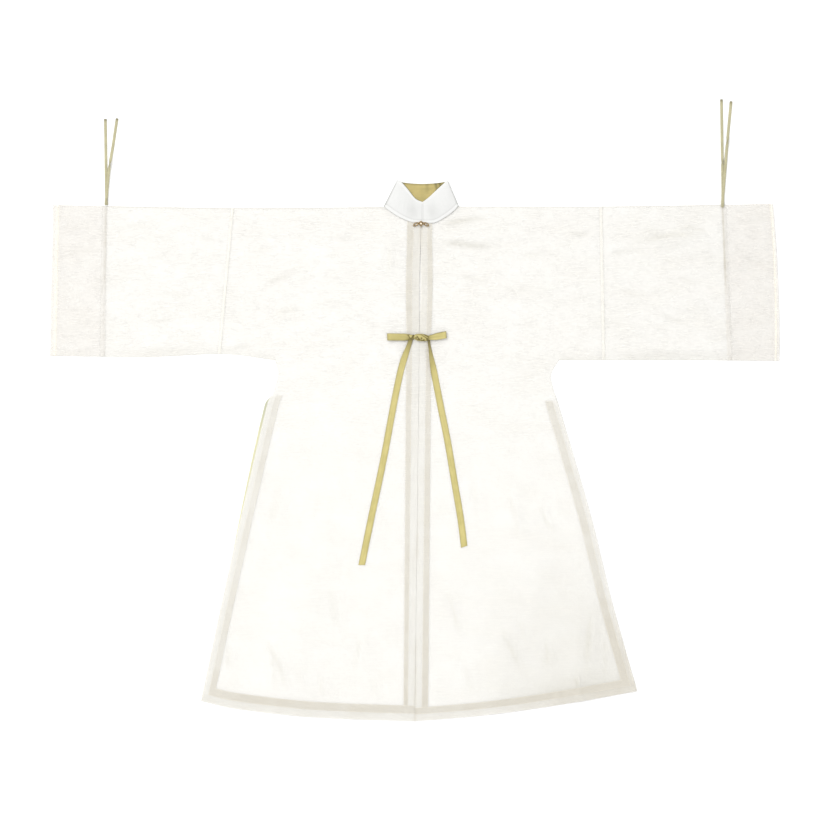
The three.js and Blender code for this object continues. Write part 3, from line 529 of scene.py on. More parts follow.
RIGHT = Half(
    name="right",
    sign=1,
    slit_top=117,
    underarm_x=340,
    placket_top=26,
    placket_foot=30,
    placket_light=16,
    slit_width=29,
    slit_light=12,
    hem_width=31,
    hem_light=16,
    seam=SleeveLine(434, 440.6),
    casing=SleeveLine(720, 735),
    cuff=SleeveLine(841.3, 856.6, 4.5),
    fold=Curve(((106, 574), (434, 574), (841.3, 580))),
    neck=Curve(((14, 540), (45, 541), (80, 560), (106, 574))),
    foot=Curve(((340, 213), (600, 213.3), (856.6, 211))),
    side=Curve(
        (
            (-564.5, 522.9),
            (-351, 463),
            (-163, 417),
            (25, 363),
            (117, 335.5),
            (150, 325),
            (180, 321),
            (213, 340),
        )
    ),
    hem=Curve(((0, 0), (0.25, 10.6), (0.475, 24.7), (0.655, 38.8), (1, 70.5))),
)
HALVES = (LEFT, RIGHT)


# ---- meshes ---------------------------------------------------------------------------------
@dataclass
class Body:
    """Points, faces and surface values of one closed body, before it is a mesh."""

    points: Array
    faces: list[Sequence[int]]
    flat: Array
    shade: Array

    def turned_out(self) -> Body:
        """The same body with its faces pointing outwards."""
        volume = 0.0
        for face in self.faces:
            for step in range(1, len(face) - 1):
                first, second, third = self.points[[face[0], face[step], face[step + 1]]]
                volume += float(np.dot(first, np.cross(second, third)))
        if volume < 0.0:
            self.faces = [tuple(reversed(face)) for face in self.faces]
        return self


def shell(low: Array, high: Array, has: Array, flat: Array, shade: Shade = 0.0) -> Body:
    """Makes a thin closed shell of cloth on a lattice of points.

    Args:
        low: Lower face, columns by rows by 3.
        high: Upper face.
        has: Which cells of the lattice are cloth.
        flat: Where each point lies on the uncreased cloth, columns by rows by 2.
        shade: How dark the cloth is at each point.

    Returns:
        The closed body.
    """
    columns, rows = low.shape[:2]
    order = np.arange(columns * rows).reshape(columns, rows)
    under, over = order * 2, order * 2 + 1
    i, j = np.nonzero(has)
    quads = [
        np.stack([over[i, j], over[i + 1, j], over[i + 1, j + 1], over[i, j + 1]], 1),
        np.stack([under[i, j], under[i, j + 1], under[i + 1, j + 1], under[i + 1, j]], 1),
    ]
    framed = np.pad(has, 1)
    sides = ((0, -1, 0, 0, 1, 0), (1, 0, 1, 0, 1, 1), (0, 1, 1, 1, 0, 1), (-1, 0, 0, 1, 0, 0))
    for away_i, away_j, from_i, from_j, to_i, to_j in sides:
        bare = ~framed[i + 1 + away_i, j + 1 + away_j]
        a, b = i[bare], j[bare]
        start, end = (a + from_i, b + from_j), (a + to_i, b + to_j)
        quads.append(np.stack([under[start], under[end], over[end], over[start]], 1))
    faces = np.concatenate(quads)
    points = np.stack([low, high], 2).reshape(-1, 3)
    plan = np.repeat(flat.reshape(-1, 2), 2, axis=0)
    dark = np.repeat(np.broadcast_to(shade, (columns, rows)).reshape(-1), 2)
    used, faces = np.unique(faces, return_inverse=True)
    faces = faces.reshape(-1, 4)
    points = points[used]
    corners = points[faces]
    middle = points.mean(0)
    spokes = [corners[:, index] - middle for index in range(4)]
    first = np.einsum("ij,ij->i", spokes[0], np.cross(spokes[1], spokes[2]))
    second = np.einsum("ij,ij->i", spokes[0], np.cross(spokes[2], spokes[3]))
    if first.sum() + second.sum() < 0.0:
        faces = faces[:, ::-1]
    return Body(points, faces.tolist(), plan[used], dark[used])


def laid_cloth(x: Array, y: Array, low: Array, thick: float, has: Array, shade: Shade = 0.0) -> Body:
    """Makes a layer of cloth that lies flat, from its plan and the height of its underside."""
    under, over = place_of(x, y, low), place_of(x, y, low + thick)
    return shell(under, over, has, np.stack([x, y], -1), shade)


def surface_normals(points: Array) -> Array:
    """Unit normals of a lattice of points."""
    normal = np.cross(np.gradient(points, axis=0), np.gradient(points, axis=1))
    return normal / np.maximum(np.linalg.norm(normal, axis=-1, keepdims=True), 1e-9)


def padded_cloth(x: Array, y: Array, low: Array, high: Array, shade: Shade = 0.0) -> Body:
    """Makes a whole layer from its plan and the heights of its two faces."""
    has = np.ones((x.shape[0] - 1, x.shape[1] - 1), bool)
    return shell(place_of(x, y, low), place_of(x, y, high), has, np.stack([x, y], -1), shade)


def thick_cloth(points: Array, thick: float, flat: Array, shade: Shade = 0.0) -> Body:
    """Makes a shell of even thickness about a curved lattice of points."""
    offset = surface_normals(points) * thick / 2.0
    has = np.ones((points.shape[0] - 1, points.shape[1] - 1), bool)
    return shell(points - offset, points + offset, has, flat, shade)


def tube(path: Array, ring: Callable[[int], Array], closed: bool = False) -> Body:
    """Sweeps a ring of points along a path.

    Args:
        path: Points of the centreline.
        ring: Gives the ring's points about the centreline at one step.
        closed: Whether the path comes back to its start.

    Returns:
        The closed body, with rounded ends where the path is open.
    """
    rings = [path[step] + ring(step) for step in range(len(path))]
    sides = len(rings[0])
    run = run_along(path)
    points = np.concatenate(rings)
    places = [(run[step], side / sides * TUBE_ROUND) for step in range(len(path)) for side in range(sides)]
    flat = np.array(places)
    faces: list[Sequence[int]] = []
    steps = len(path) if closed else len(path) - 1
    for step in range(steps):
        following = (step + 1) % len(path)
        for side in range(sides):
            beside = (side + 1) % sides
            faces.append(
                (
                    step * sides + side,
                    step * sides + beside,
                    following * sides + beside,
                    following * sides + side,
                )
            )
    if not closed:
        faces.append(tuple(reversed(range(sides))))
        faces.append(tuple((len(path) - 1) * sides + side for side in range(sides)))
    return Body(points, faces, flat, np.zeros(len(points))).turned_out()


def frame_of(path: Array, closed: bool = False) -> tuple[Array, Array, Array]:
    """Directions along, across and above a path that lies nearly flat."""
    if closed:
        along = np.roll(path, -1, axis=0) - np.roll(path, 1, axis=0)
    else:
        along = np.gradient(path, axis=0)
    along = along / np.linalg.norm(along, axis=1, keepdims=True)
    across = np.cross(along, np.array([0.0, 0.0, 1.0]))
    across = across / np.maximum(np.linalg.norm(across, axis=1, keepdims=True), 1e-9)
    return along, across, np.cross(across, along)


def wire(path: Array, radius: float, sides: int = 10, closed: bool = False, squash: float = 1.0) -> Body:
    """A round wire along a path."""
    _, across, above = frame_of(path, closed)
    turns = round_turns(sides)

    def ring(step: int) -> Array:
        """The wire's round section."""
        return radius * (
            np.outer(np.cos(turns), across[step]) + squash * np.outer(np.sin(turns), above[step])
        )

    return tube(path, ring, closed)


def smooth_path(points: Sequence[Sequence[float]], steps: int) -> Array:
    """Even steps along a smooth curve through a few points."""
    knots = np.array(points, float)
    chord = run_along(knots)
    fine = np.linspace(0.0, chord[-1], 600)
    curve = np.stack([Curve(tuple(zip(chord, values))).at(fine) for values in knots.T], 1)
    run = run_along(curve)
    even = np.linspace(0.0, run[-1], steps + 1)
    return np.stack([np.interp(even, run, values) for values in curve.T], 1)


def path_length(path: Array) -> float:
    """The length of a path."""
    return float(np.linalg.norm(np.diff(path, axis=0), axis=1).sum())


def mesh_piece(name: str, bodies: Sequence[Body], smooth_angle: float = 45.0) -> bpy.types.Object:
    """Makes one object from closed bodies.

    Args:
        name: Name of the piece.
        bodies: The bodies, in millimetres.
        smooth_angle: Edges sharper than this stay sharp, in degrees.

    Returns:
        The object, at the origin, with a UV map of the flat cloth in metres and a shade value.
    """
    points = np.concatenate([body.points for body in bodies]) * MM
    flat = np.concatenate([body.flat for body in bodies]) * MM
    shade = np.concatenate([body.shade for body in bodies])
    faces: list[Sequence[int]] = []
    start = 0
    for body in bodies:
        faces.extend(tuple(corner + start for corner in face) for face in body.faces)
        start += len(body.points)
    mesh = bpy.data.meshes.new(name)
    mesh.from_pydata(points.tolist(), [], faces)
    mesh.validate()
    corner_points = np.zeros(len(mesh.loops), np.int32)
    mesh.loops.foreach_get("vertex_index", corner_points)
    layer = mesh.uv_layers.new(name="flat")
    layer.data.foreach_set("uv", flat[corner_points].astype(np.float32).ravel())
    attribute = mesh.attributes.new("shade", "FLOAT", "POINT")
    attribute.data.foreach_set("value", shade.astype(np.float32))
    mesh.shade_smooth()
    mesh.set_sharp_from_angle(angle=math.radians(smooth_angle))
    piece = bpy.data.objects.new(name, mesh)
    bpy.context.scene.collection.objects.link(piece)
    return piece


# ---- material nodes -------------------------------------------------------------------------
class Value:
    """A node's output, with arithmetic that adds Math nodes."""

    def __init__(self, shader: Shader, socket: bpy.types.NodeSocket) -> None:
        """Wraps one output of a material's tree."""
        self.shader = shader
        self.socket = socket

    def _math(self, operation: str, *parts: Any) -> Value:
        """Adds one Math node."""
        return self.shader.node("ShaderNodeMath", {"operation": operation}, *parts)

    def __add__(self, other: Any) -> Value:
        """Sum."""
        return self._math("ADD", self, other)

    def __radd__(self, other: Any) -> Value:
        """Sum, reflected."""
        return self._math("ADD", other, self)

    def __sub__(self, other: Any) -> Value:
        """Difference."""
        return self._math("SUBTRACT", self, other)

    def __rsub__(self, other: Any) -> Value:
        """Difference, reflected."""
        return self._math("SUBTRACT", other, self)

    def __mul__(self, other: Any) -> Value:
        """Product."""
        return self._math("MULTIPLY", self, other)

    def __rmul__(self, other: Any) -> Value:
        """Product, reflected."""
        return self._math("MULTIPLY", other, self)

    def __truediv__(self, other: Any) -> Value:
        """Quotient."""
        return self._math("DIVIDE", self, other)

    def held(self) -> Value:
        """The value held between 0 and 1."""
        return self.shader.node("ShaderNodeClamp", {}, self)

    def sine(self) -> Value:
        """The sine of the value."""
        return self._math("SINE", self)

    def size(self) -> Value:
        """The value without its sign."""
        return self._math("ABSOLUTE", self)


Colour = tuple[float, float, float]


class Shader:
    """One material, built from expressions."""

    def __init__(self, name: str) -> None:
        """Makes a material with a Principled shader.

        Args:
            name: The material's name.
        """
        self.material = bpy.data.materials.new(name)
        self.material.use_nodes = True
        self.tree = self.material.node_tree
        self.principled = self.tree.nodes["Principled BSDF"]

    def node(
        self, kind: str, settings: dict[str, Any], *inputs: Any, output: str | int = 0, **named: Any
    ) -> Value:
        """Adds a node.

        Args:
            kind: The node's type.
            settings: Its own settings, which are set first.
            *inputs: Values or outputs for its first sockets, with None to leave one alone.
            output: The output that is wanted.
            **named: Values or outputs for sockets by name, with _ for a space.

        Returns:
            The output.
        """
        made = self.tree.nodes.new(kind)
        for key, value in settings.items():
            setattr(made, key, value)
        pairs = [(made.inputs[index], value) for index, value in enumerate(inputs) if value is not None]
        pairs += [(made.inputs[key.replace("_", " ")], value) for key, value in named.items()]
        for socket, value in pairs:
            self.join(value, socket)
        return Value(self, made.outputs[output])

    def join(self, value: Any, socket: bpy.types.NodeSocket) -> None:
        """Links an output to a socket, or sets the socket's own value."""
        if isinstance(value, Value):
            self.tree.links.new(value.socket, socket)
        elif isinstance(value, tuple) and len(value) == 3 and socket.type == "RGBA":
            socket.default_value = (*value, 1.0)
        else:
            socket.default_value = value

    def blend(self, part: Any, first: Any, second: Any) -> Value:
        """Mixes two colours."""
        made = self.tree.nodes.new("ShaderNodeMix")
        made.data_type = "RGBA"
        self.join(part, made.inputs[0])
        self.join(first, made.inputs[6])
        self.join(second, made.inputs[7])
        return Value(self, made.outputs[2])

    def flat_parts(self) -> tuple[Value, Value]:
        """The two coordinates on the flat cloth, in metres."""
        split = self.tree.nodes.new("ShaderNodeSeparateXYZ")
        self.join(self.node("ShaderNodeUVMap", {"uv_map": "flat"}), split.inputs[0])
        return Value(self, split.outputs[0]), Value(self, split.outputs[1])

    def flat_place(self, turn: float, across: float, down: float) -> Value:
        """The place on the flat cloth, turned and scaled."""
        place = self.node("ShaderNodeUVMap", {"uv_map": "flat"})
        turned = (0.0, 0.0, math.radians(turn))
        return self.node("ShaderNodeMapping", {}, place, Rotation=turned, Scale=(across, down, 1.0))

    def noise(self, place: Value, detail: float = 2.0, rough: float = 0.5) -> Value:
        """Soft noise over one unit of a place."""
        plane = {"noise_dimensions": "2D"}
        return self.node("ShaderNodeTexNoise", plane, place, Scale=1.0, Detail=detail, Roughness=rough)

    def shade(self) -> Value:
        """The piece's own shade value."""
        return self.node("ShaderNodeAttribute", {"attribute_name": "shade"}, output="Fac")

    def finish(self, constants: dict[str, Any], **varying: Any) -> bpy.types.Material:
        """Sets the shader's own sockets and joins what varies over the surface.

        Args:
            constants: Sockets with one value everywhere.
            **varying: Sockets that vary, with _ for a space.

        Returns:
            The material.
        """
        for key, value in constants.items():
            self.join(value, self.principled.inputs[key])
        for key, value in varying.items():
            self.join(value, self.principled.inputs[key.replace("_", " ")])
        return self.material

    def bump(self, height: Value, strength: float = 1.0) -> Value:
        """A Bump node for a height in metres."""
        return self.node("ShaderNodeBump", {}, Strength=strength, Distance=1.0, Height=height)


@dataclass(frozen=True)
class Gauze:
    """Plain woven sheer cloth with faint slubs, fine crinkle lines with painted shade in them and a soft
    sheen.
    """

    name: str
    light: Colour
    dark: Colour
    deep: Colour
    cover: float
    deep_cover: float
    crinkle: float = 0.00045
    crinkle_shade: float = 0.13
    crinkle_turn: float = -13.0
    crinkle_size: Plan = (34.0, 185.0)
    thread: float = 0.7
    sheen: float = 0.2

    def material(self) -> bpy.types.Material:
        """Builds the material."""
        shader = Shader(self.name)
        cloudy = shader.noise(shader.flat_place(8.0, 11.0, 19.0), 1.0, 0.6)
        slubs = shader.noise(shader.flat_place(0.0, 24.0, 900.0), 0.0)
        threads = 2.0 * math.pi / (self.thread * MM)
        along, down = shader.flat_parts()
        weave = (along * threads).sine() * (down * threads).sine()
        rumpled = ((down + 0.04) * 4.0).held() * 0.88 + 0.12
        turn, size = self.crinkle_turn, self.crinkle_size
        wander = shader.noise(shader.flat_place(turn, *size), 1.0)
        broken = shader.noise(shader.flat_place(turn, size[0] * 1.3, size[1] * 0.3), 0.0)
        broad = shader.noise(shader.flat_place(turn * 1.5, 11.0, 62.0), 1.0)
        fine = (1.0 - (wander - 0.5).size() * 13.0).held() * (broken * 5.0 - 2.1).held()
        large = (1.0 - (broad - 0.5).size() * 17.0).held() * (cloudy * 5.0 - 2.0).held()
        lines = (fine * 0.8 + large * 0.8) * rumpled
        # Painted shade: the crinkle lines darken the colour and thicken the cover.
        uneven = (slubs * 0.5 + cloudy * 0.9 - 0.2 + lines * self.crinkle_shade * 2.0).held()
        plain = shader.blend(uneven, self.light, self.dark)
        shade = shader.shade()
        # The shade value blends toward the deep colour and cover: denser doubled cloth together with
        # painted shade.
        colour = shader.blend(shade.held(), plain, self.deep)
        cover = self.cover + shade * (self.deep_cover - self.cover) + (uneven - 0.5) * 0.08
        cover = cover + weave * 0.02 + lines * self.crinkle_shade
        height = (wander + broad * 2.6 - lines * 0.8) * rumpled * self.crinkle
        height = height + slubs * 0.00003 + weave * 0.000012
        return shader.finish(
            {
                "Roughness": 0.72,
                "Sheen Weight": self.sheen,
                "Sheen Roughness": 0.45,
                "Specular IOR Level": 0.25,
            },
            Base_Color=colour,
            Alpha=cover.held(),
            Normal=shader.bump(height),
        )


@dataclass(frozen=True)
class Satin:
    """Close satin with fine ribs across, blended toward the fold colour where its shade value paints shade
    in folds and along edges.
    """

    name: str
    light: Colour
    dark: Colour
    fold: Colour
    rough: float = 0.42

    def material(self) -> bpy.types.Material:
        """Builds the material."""
        shader = Shader(self.name)
        long_streaks = shader.noise(shader.flat_place(0.0, 18.0, 260.0), 2.0)
        patches = shader.noise(shader.flat_place(20.0, 46.0, 60.0), 3.0, 0.6)
        along, _ = shader.flat_parts()
        ribs = (along * (2.0 * math.pi / 0.0008)).sine()
        uneven = (long_streaks * 1.2 + patches * 1.3 - 0.75).held()
        plain = shader.blend(uneven, self.light, self.dark)
        shade = shader.shade()
        # Painted shade: the shade value blends toward the fold colour.
        colour = shader.blend(shade.held(), plain, self.fold)
        height = ribs * 0.00002 + long_streaks * 0.0001 + patches * 0.0002
        return shader.finish(
            {"Sheen Weight": 0.25, "Sheen Roughness": 0.4, "Specular IOR Level": 0.4},
            Base_Color=colour,
            Roughness=(self.rough + patches * 0.16).held(),
            Normal=shader.bump(height),
        )


@dataclass(frozen=True)
class Braid:
    """A flat braided cord."""

    name: str
    light: Colour
    dark: Colour
    tip: Colour

    def material(self) -> bpy.types.Material:
        """Builds the material."""
        shader = Shader(self.name)
        length, width = shader.flat_parts()
        along = length * (2.0 * math.pi / 0.0024)
        around = width * (2.0 * math.pi * 3.0 / 0.01)
        braid = (along + around).sine() * (along - around).sine()
        patches = shader.noise(shader.flat_place(0.0, 38.0, 60.0), 3.0, 0.6)
        plain = shader.blend((patches * 1.5 - 0.3 + braid * 0.2).held(), self.light, self.dark)
        # The shade value blends toward the tip colour, with painted shade where the cord twists.
        colour = shader.blend(shader.shade().held(), plain, self.tip)
        return shader.finish(
            {"Sheen Weight": 0.2, "Specular IOR Level": 0.3},
            Base_Color=colour,
            Roughness=(0.55 + patches * 0.2).held(),
            Normal=shader.bump(braid * 0.00012 + patches * 0.0001),
        )


@dataclass(frozen=True)
class Brass:
    """Gilt metal, dulled in its hollows."""

    name: str
    bright: Colour
    dull: Colour
    rough: float = 0.28

    def material(self) -> bpy.types.Material:
        """Builds the material."""
        shader = Shader(self.name)
        place = shader.node("ShaderNodeTexCoord", {}, output="Object")
        wear = shader.node("ShaderNodeTexNoise", {}, place, Scale=420.0, Detail=4.0, Roughness=0.6)
        spots = shader.node("ShaderNodeTexNoise", {}, place, Scale=1500.0, Detail=2.0)
        dulled = (wear * 2.2 - 0.7 + shader.shade()).held()
        return shader.finish(
            {"Metallic": 1.0},
            Base_Color=shader.blend(dulled, self.bright, self.dull),
            Roughness=(self.rough + dulled * 0.3).held(),
            Normal=shader.bump(spots * 0.00003 + wear * 0.00004),
        )


@dataclass(frozen=True)
class Thread:
    """Twisted sewing thread."""

    name: str
    light: Colour
    dark: Colour

    def material(self) -> bpy.types.Material:
        """Builds the material."""
        shader = Shader(self.name)
        place = shader.node("ShaderNodeTexCoord", {}, output="Object")
        fuzz = shader.node("ShaderNodeTexNoise", {}, place, Scale=2600.0, Detail=2.0)
        runs = shader.node("ShaderNodeTexNoise", {}, place, Scale=60.0, Detail=2.0)
        return shader.finish(
            {"Sheen Weight": 0.2, "Roughness": 0.7, "Specular IOR Level": 0.25},
            Base_Color=shader.blend((runs * 1.4 - 0.2).held(), self.light, self.dark),
            Normal=shader.bump(fuzz * 0.00006),
        )


@dataclass(frozen=True)
class Table:
    """A plain pale table top."""

    name: str
    colour: Colour

    def material(self) -> bpy.types.Material:
        """Builds the material."""
        shader = Shader(self.name)
        place = shader.node("ShaderNodeTexCoord", {}, output="Object")
        tone = shader.node("ShaderNodeTexNoise", {}, place, Scale=1.5, Detail=2.0)
        darker = tuple(0.985 * part for part in self.colour)
        return shader.finish(
            {"Roughness": 0.9, "Specular IOR Level": 0.0},
            Base_Color=shader.blend(tone, self.colour, darker),
        )


class Finishes:
    """Every finish of the robe, made once."""

    def __init__(self) -> None:
        """Builds the materials."""
        # The third colour of each finish is its colour at full shade value; on the sheer, facing, collar
        # and satin finishes this carries painted shade.
        ivory, soft_ivory, shaded_ivory = (0.963, 0.955, 0.93), (0.925, 0.91, 0.87), (0.7, 0.68, 0.61)
        self.sheer = Gauze("sheer", ivory, soft_ivory, shaded_ivory, 0.38, 0.58).material()
        light, dark, deep = (0.91, 0.898, 0.86), (0.865, 0.85, 0.8), (0.76, 0.725, 0.645)
        self.facing = Gauze("facing", light, dark, deep, 0.42, 0.49, 0.0002, 0.07).material()
        light, dark, deep = (0.965, 0.943, 0.91), (0.92, 0.895, 0.855), (1.0, 0.97, 0.88)
        self.cuff = Gauze("cuff", light, dark, deep, 0.3, 0.62).material()
        light, dark, deep = (0.92, 0.9, 0.865), (0.86, 0.835, 0.79), (0.5, 0.46, 0.36)
        self.casing = Gauze("casing", light, dark, deep, 0.38, 0.62, 0.0003).material()
        light, dark, deep = (0.99, 0.972, 0.92), (0.96, 0.937, 0.875), (0.62, 0.6, 0.52)
        self.tape = Gauze("seam_tape", light, dark, deep, 0.44, 0.6, 0.0001, 0.03).material()
        light, dark, deep = (0.72, 0.72, 0.71), (0.68, 0.682, 0.668), (0.36, 0.363, 0.345)
        self.collar = Gauze("collar_cloth", light, dark, deep, 0.985, 1.0, 0.0001, 0.02).material()
        light, dark, fold = (0.56, 0.485, 0.19), (0.45, 0.39, 0.14), (0.13, 0.1, 0.02)
        self.olive = Satin("olive_satin", light, dark, fold).material()
        light, dark, fold = (0.47, 0.38, 0.14), (0.36, 0.3, 0.11), (0.12, 0.1, 0.025)
        self.lining = Satin("lining_satin", light, dark, fold).material()
        light, dark, fold = (0.66, 0.64, 0.42), (0.56, 0.545, 0.35), (0.42, 0.43, 0.32)
        self.binding = Satin("binding_satin", light, dark, fold).material()
        light, dark, tip = (0.5, 0.465, 0.29), (0.36, 0.335, 0.21), (0.15, 0.13, 0.07)
        self.braid = Braid("lace_braid", light, dark, tip).material()
        self.brass = Brass("aged_gilt", (0.5, 0.36, 0.19), (0.12, 0.08, 0.04)).material()
        self.bead = Brass("bright_gilt", (1.0, 0.93, 0.79), (0.85, 0.7, 0.5), 0.3).material()
        self.thread = Thread("cream_thread", (0.98, 0.9, 0.7), (0.84, 0.76, 0.56)).material()
        self.white_thread = Thread("white_thread", (0.93, 0.93, 0.91), (0.8, 0.8, 0.78)).material()


class Slot(Enum):
    """The material slots of the part."""

    SHEER = "sheer_cloth"
    FACING = "facing_cloth"
    COLLAR = "collar_cloth"
    OLIVE = "olive_satin"
    LACE = "lace_cord"
    METAL = "clasp_metal"


def place_piece(
    piece: bpy.types.Object, material: bpy.types.Material, slot: Slot, *replaced: str
) -> bpy.types.Object:
    """Dresses a piece and joins it to the part.

    Args:
        piece: The finished piece.
        material: Its finish.
        slot: Not used.
        *replaced: The plain solids that it stands for.

    Returns:
        The piece.
    """
    if not piece.data.materials:
        piece.data.materials.append(material)
    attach(piece, "root")
    if replaced:
        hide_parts(*replaced)
    stands_for = ", ".join(replaced) or "itself"
    LOG.info("%s: %d faces, stands for %s", piece.name, len(piece.data.polygons), stands_for)
    return piece


# ---- stitches -------------------------------------------------------------------------------
class StitchRow:
    """Geometry Nodes that sew a row of stitches along a line."""

    def __init__(self) -> None:
        """Builds the node tree."""
        self.tree = bpy.data.node_groups.new("stitch_row", "GeometryNodeTree")
        face = self.tree.interface
        face.new_socket("Geometry", in_out="INPUT", socket_type="NodeSocketGeometry")
        face.new_socket("Geometry", in_out="OUTPUT", socket_type="NodeSocketGeometry")
        self.inputs: dict[str, str] = {}
        for name, kind in (
            ("Pitch", "NodeSocketFloat"),
            ("Length", "NodeSocketFloat"),
            ("Thickness", "NodeSocketFloat"),
            ("Thread", "NodeSocketMaterial"),
        ):
            made = face.new_socket(name, in_out="INPUT", socket_type=kind)
            self.inputs[name] = made.identifier
        nodes, links = self.tree.nodes, self.tree.links
        start, end = nodes.new("NodeGroupInput"), nodes.new("NodeGroupOutput")
        line = nodes.new("GeometryNodeMeshToCurve")
        even = nodes.new("GeometryNodeResampleCurve")
        even.mode = "LENGTH"
        links.new(start.outputs["Geometry"], line.inputs[0])
        links.new(line.outputs[0], even.inputs["Curve"])
        links.new(start.outputs["Pitch"], even.inputs["Length"])
        bead = nodes.new("GeometryNodeMeshUVSphere")
        bead.inputs["Segments"].default_value = 6
        bead.inputs["Rings"].default_value = 4
        bead.inputs["Radius"].default_value = 0.5
        size = nodes.new("ShaderNodeCombineXYZ")
        links.new(start.outputs["Length"], size.inputs[0])
        links.new(start.outputs["Thickness"], size.inputs[1])
        links.new(start.outputs["Thickness"], size.inputs[2])
        sized = nodes.new("GeometryNodeTransform")
        links.new(bead.outputs["Mesh"], sized.inputs["Geometry"])
        links.new(size.outputs[0], sized.inputs["Scale"])
        tangent = nodes.new("GeometryNodeInputTangent")
        align = nodes.new("FunctionNodeAlignRotationToVector")
        align.axis = "X"
        links.new(tangent.outputs[0], align.inputs["Vector"])
        vary = nodes.new("FunctionNodeRandomValue")
        vary.data_type = "FLOAT"
        vary.inputs["Seed"].default_value = 4
        for socket in vary.inputs:
            if socket.type == "VALUE" and socket.name == "Min":
                socket.default_value = 0.82
            if socket.type == "VALUE" and socket.name == "Max":
                socket.default_value = 1.12
        sew = nodes.new("GeometryNodeInstanceOnPoints")
        links.new(even.outputs[0], sew.inputs["Points"])
        links.new(sized.outputs[0], sew.inputs["Instance"])
        links.new(align.outputs[0], sew.inputs["Rotation"])
        value = next(output for output in vary.outputs if output.type == "VALUE")
        links.new(value, sew.inputs["Scale"])
        real = nodes.new("GeometryNodeRealizeInstances")
        links.new(sew.outputs[0], real.inputs[0])
        paint = nodes.new("GeometryNodeSetMaterial")
        links.new(real.outputs[0], paint.inputs["Geometry"])
        links.new(start.outputs["Thread"], paint.inputs["Material"])
        links.new(paint.outputs[0], end.inputs[0])

    def sew(
        self,
        name: str,
        lines: Sequence[Array],
        thread: bpy.types.Material,
        pitch: float = 3.6,
        length: float = 2.5,
        thickness: float = 0.5,
    ) -> bpy.types.Object:
        """Sews rows of stitches and returns them as one plain mesh.

        Args:
            name: Name of the piece.
            lines: The rows, each a line of points in millimetres.
            thread: The thread's finish.
            pitch: Distance from one stitch to the next.
            length: Length of a stitch.
            thickness: Thickness of the thread.

        Returns:
            The stitches.
        """
        points: list[list[float]] = []
        edges: list[tuple[int, int]] = []
        for line in lines:
            first = len(points)
            points.extend((line * MM).tolist())
            edges.extend((first + step, first + step + 1) for step in range(len(line) - 1))
        mesh = bpy.data.meshes.new(f"{name}_line")
        mesh.from_pydata(points, edges, [])
        guide = bpy.data.objects.new(f"{name}_line", mesh)
        bpy.context.scene.collection.objects.link(guide)
        modifier = guide.modifiers.new("stitches", "NODES")
        modifier.node_group = self.tree
        modifier[self.inputs["Pitch"]] = pitch * MM
        modifier[self.inputs["Length"]] = length * MM
        modifier[self.inputs["Thickness"]] = thickness * MM
        modifier[self.inputs["Thread"]] = thread
        graph = bpy.context.evaluated_depsgraph_get()
        sewn = bpy.data.meshes.new_from_object(guide.evaluated_get(graph), depsgraph=graph)
        guide.modifiers.remove(modifier)
        bpy.data.objects.remove(guide)
        sewn.name = name
        sewn.shade_smooth()
        piece = bpy.data.objects.new(name, sewn)
        bpy.context.scene.collection.objects.link(piece)
        return piece


# ---- lattices of the body and sleeves -------------------------------------------------------
class Layer(Enum):
    """The two layers of the robe as it lies."""

    FRONT = "front"
    BACK = "back"


BINDING_WIDTH = 6.0
BINDING_OUTSET = 5.5
BINDING_FULL_Y = 108.0
BINDING_END_Y = -233.0
BINDING_OVERLAP = 4.0
LIP_STEPS = (0.0, 0.0012, 0.0035, 0.007, 0.012)  # parts of the way down, close to a closed edge


def back_outset(half: Half, y: Number) -> Array:
    """How far the back stands out past the front at the left slit."""
    y = np.asarray(y, float)
    falling = ease((y - BINDING_END_Y) / (BINDING_FULL_Y - BINDING_END_Y)) ** 0.5
    rising = ease((half.slit_top - y) / (half.slit_top - BINDING_FULL_Y))
    there = (half.sign < 0) & (y <= half.slit_top) & (y >= BINDING_END_Y)
    return np.where(there, BINDING_OUTSET * falling * rising, 0.0)


def rows_down(fine: bool) -> list[float]:
    """Parts of the way from the top fold to the foot, closer together at both edges."""
    inner = spread(LIP_STEPS[-1], 1.0 - LIP_STEPS[-1], 60 if fine else 26)[:-1]
    return [*LIP_STEPS, *inner, *[1 - step for step in reversed(LIP_STEPS)]]


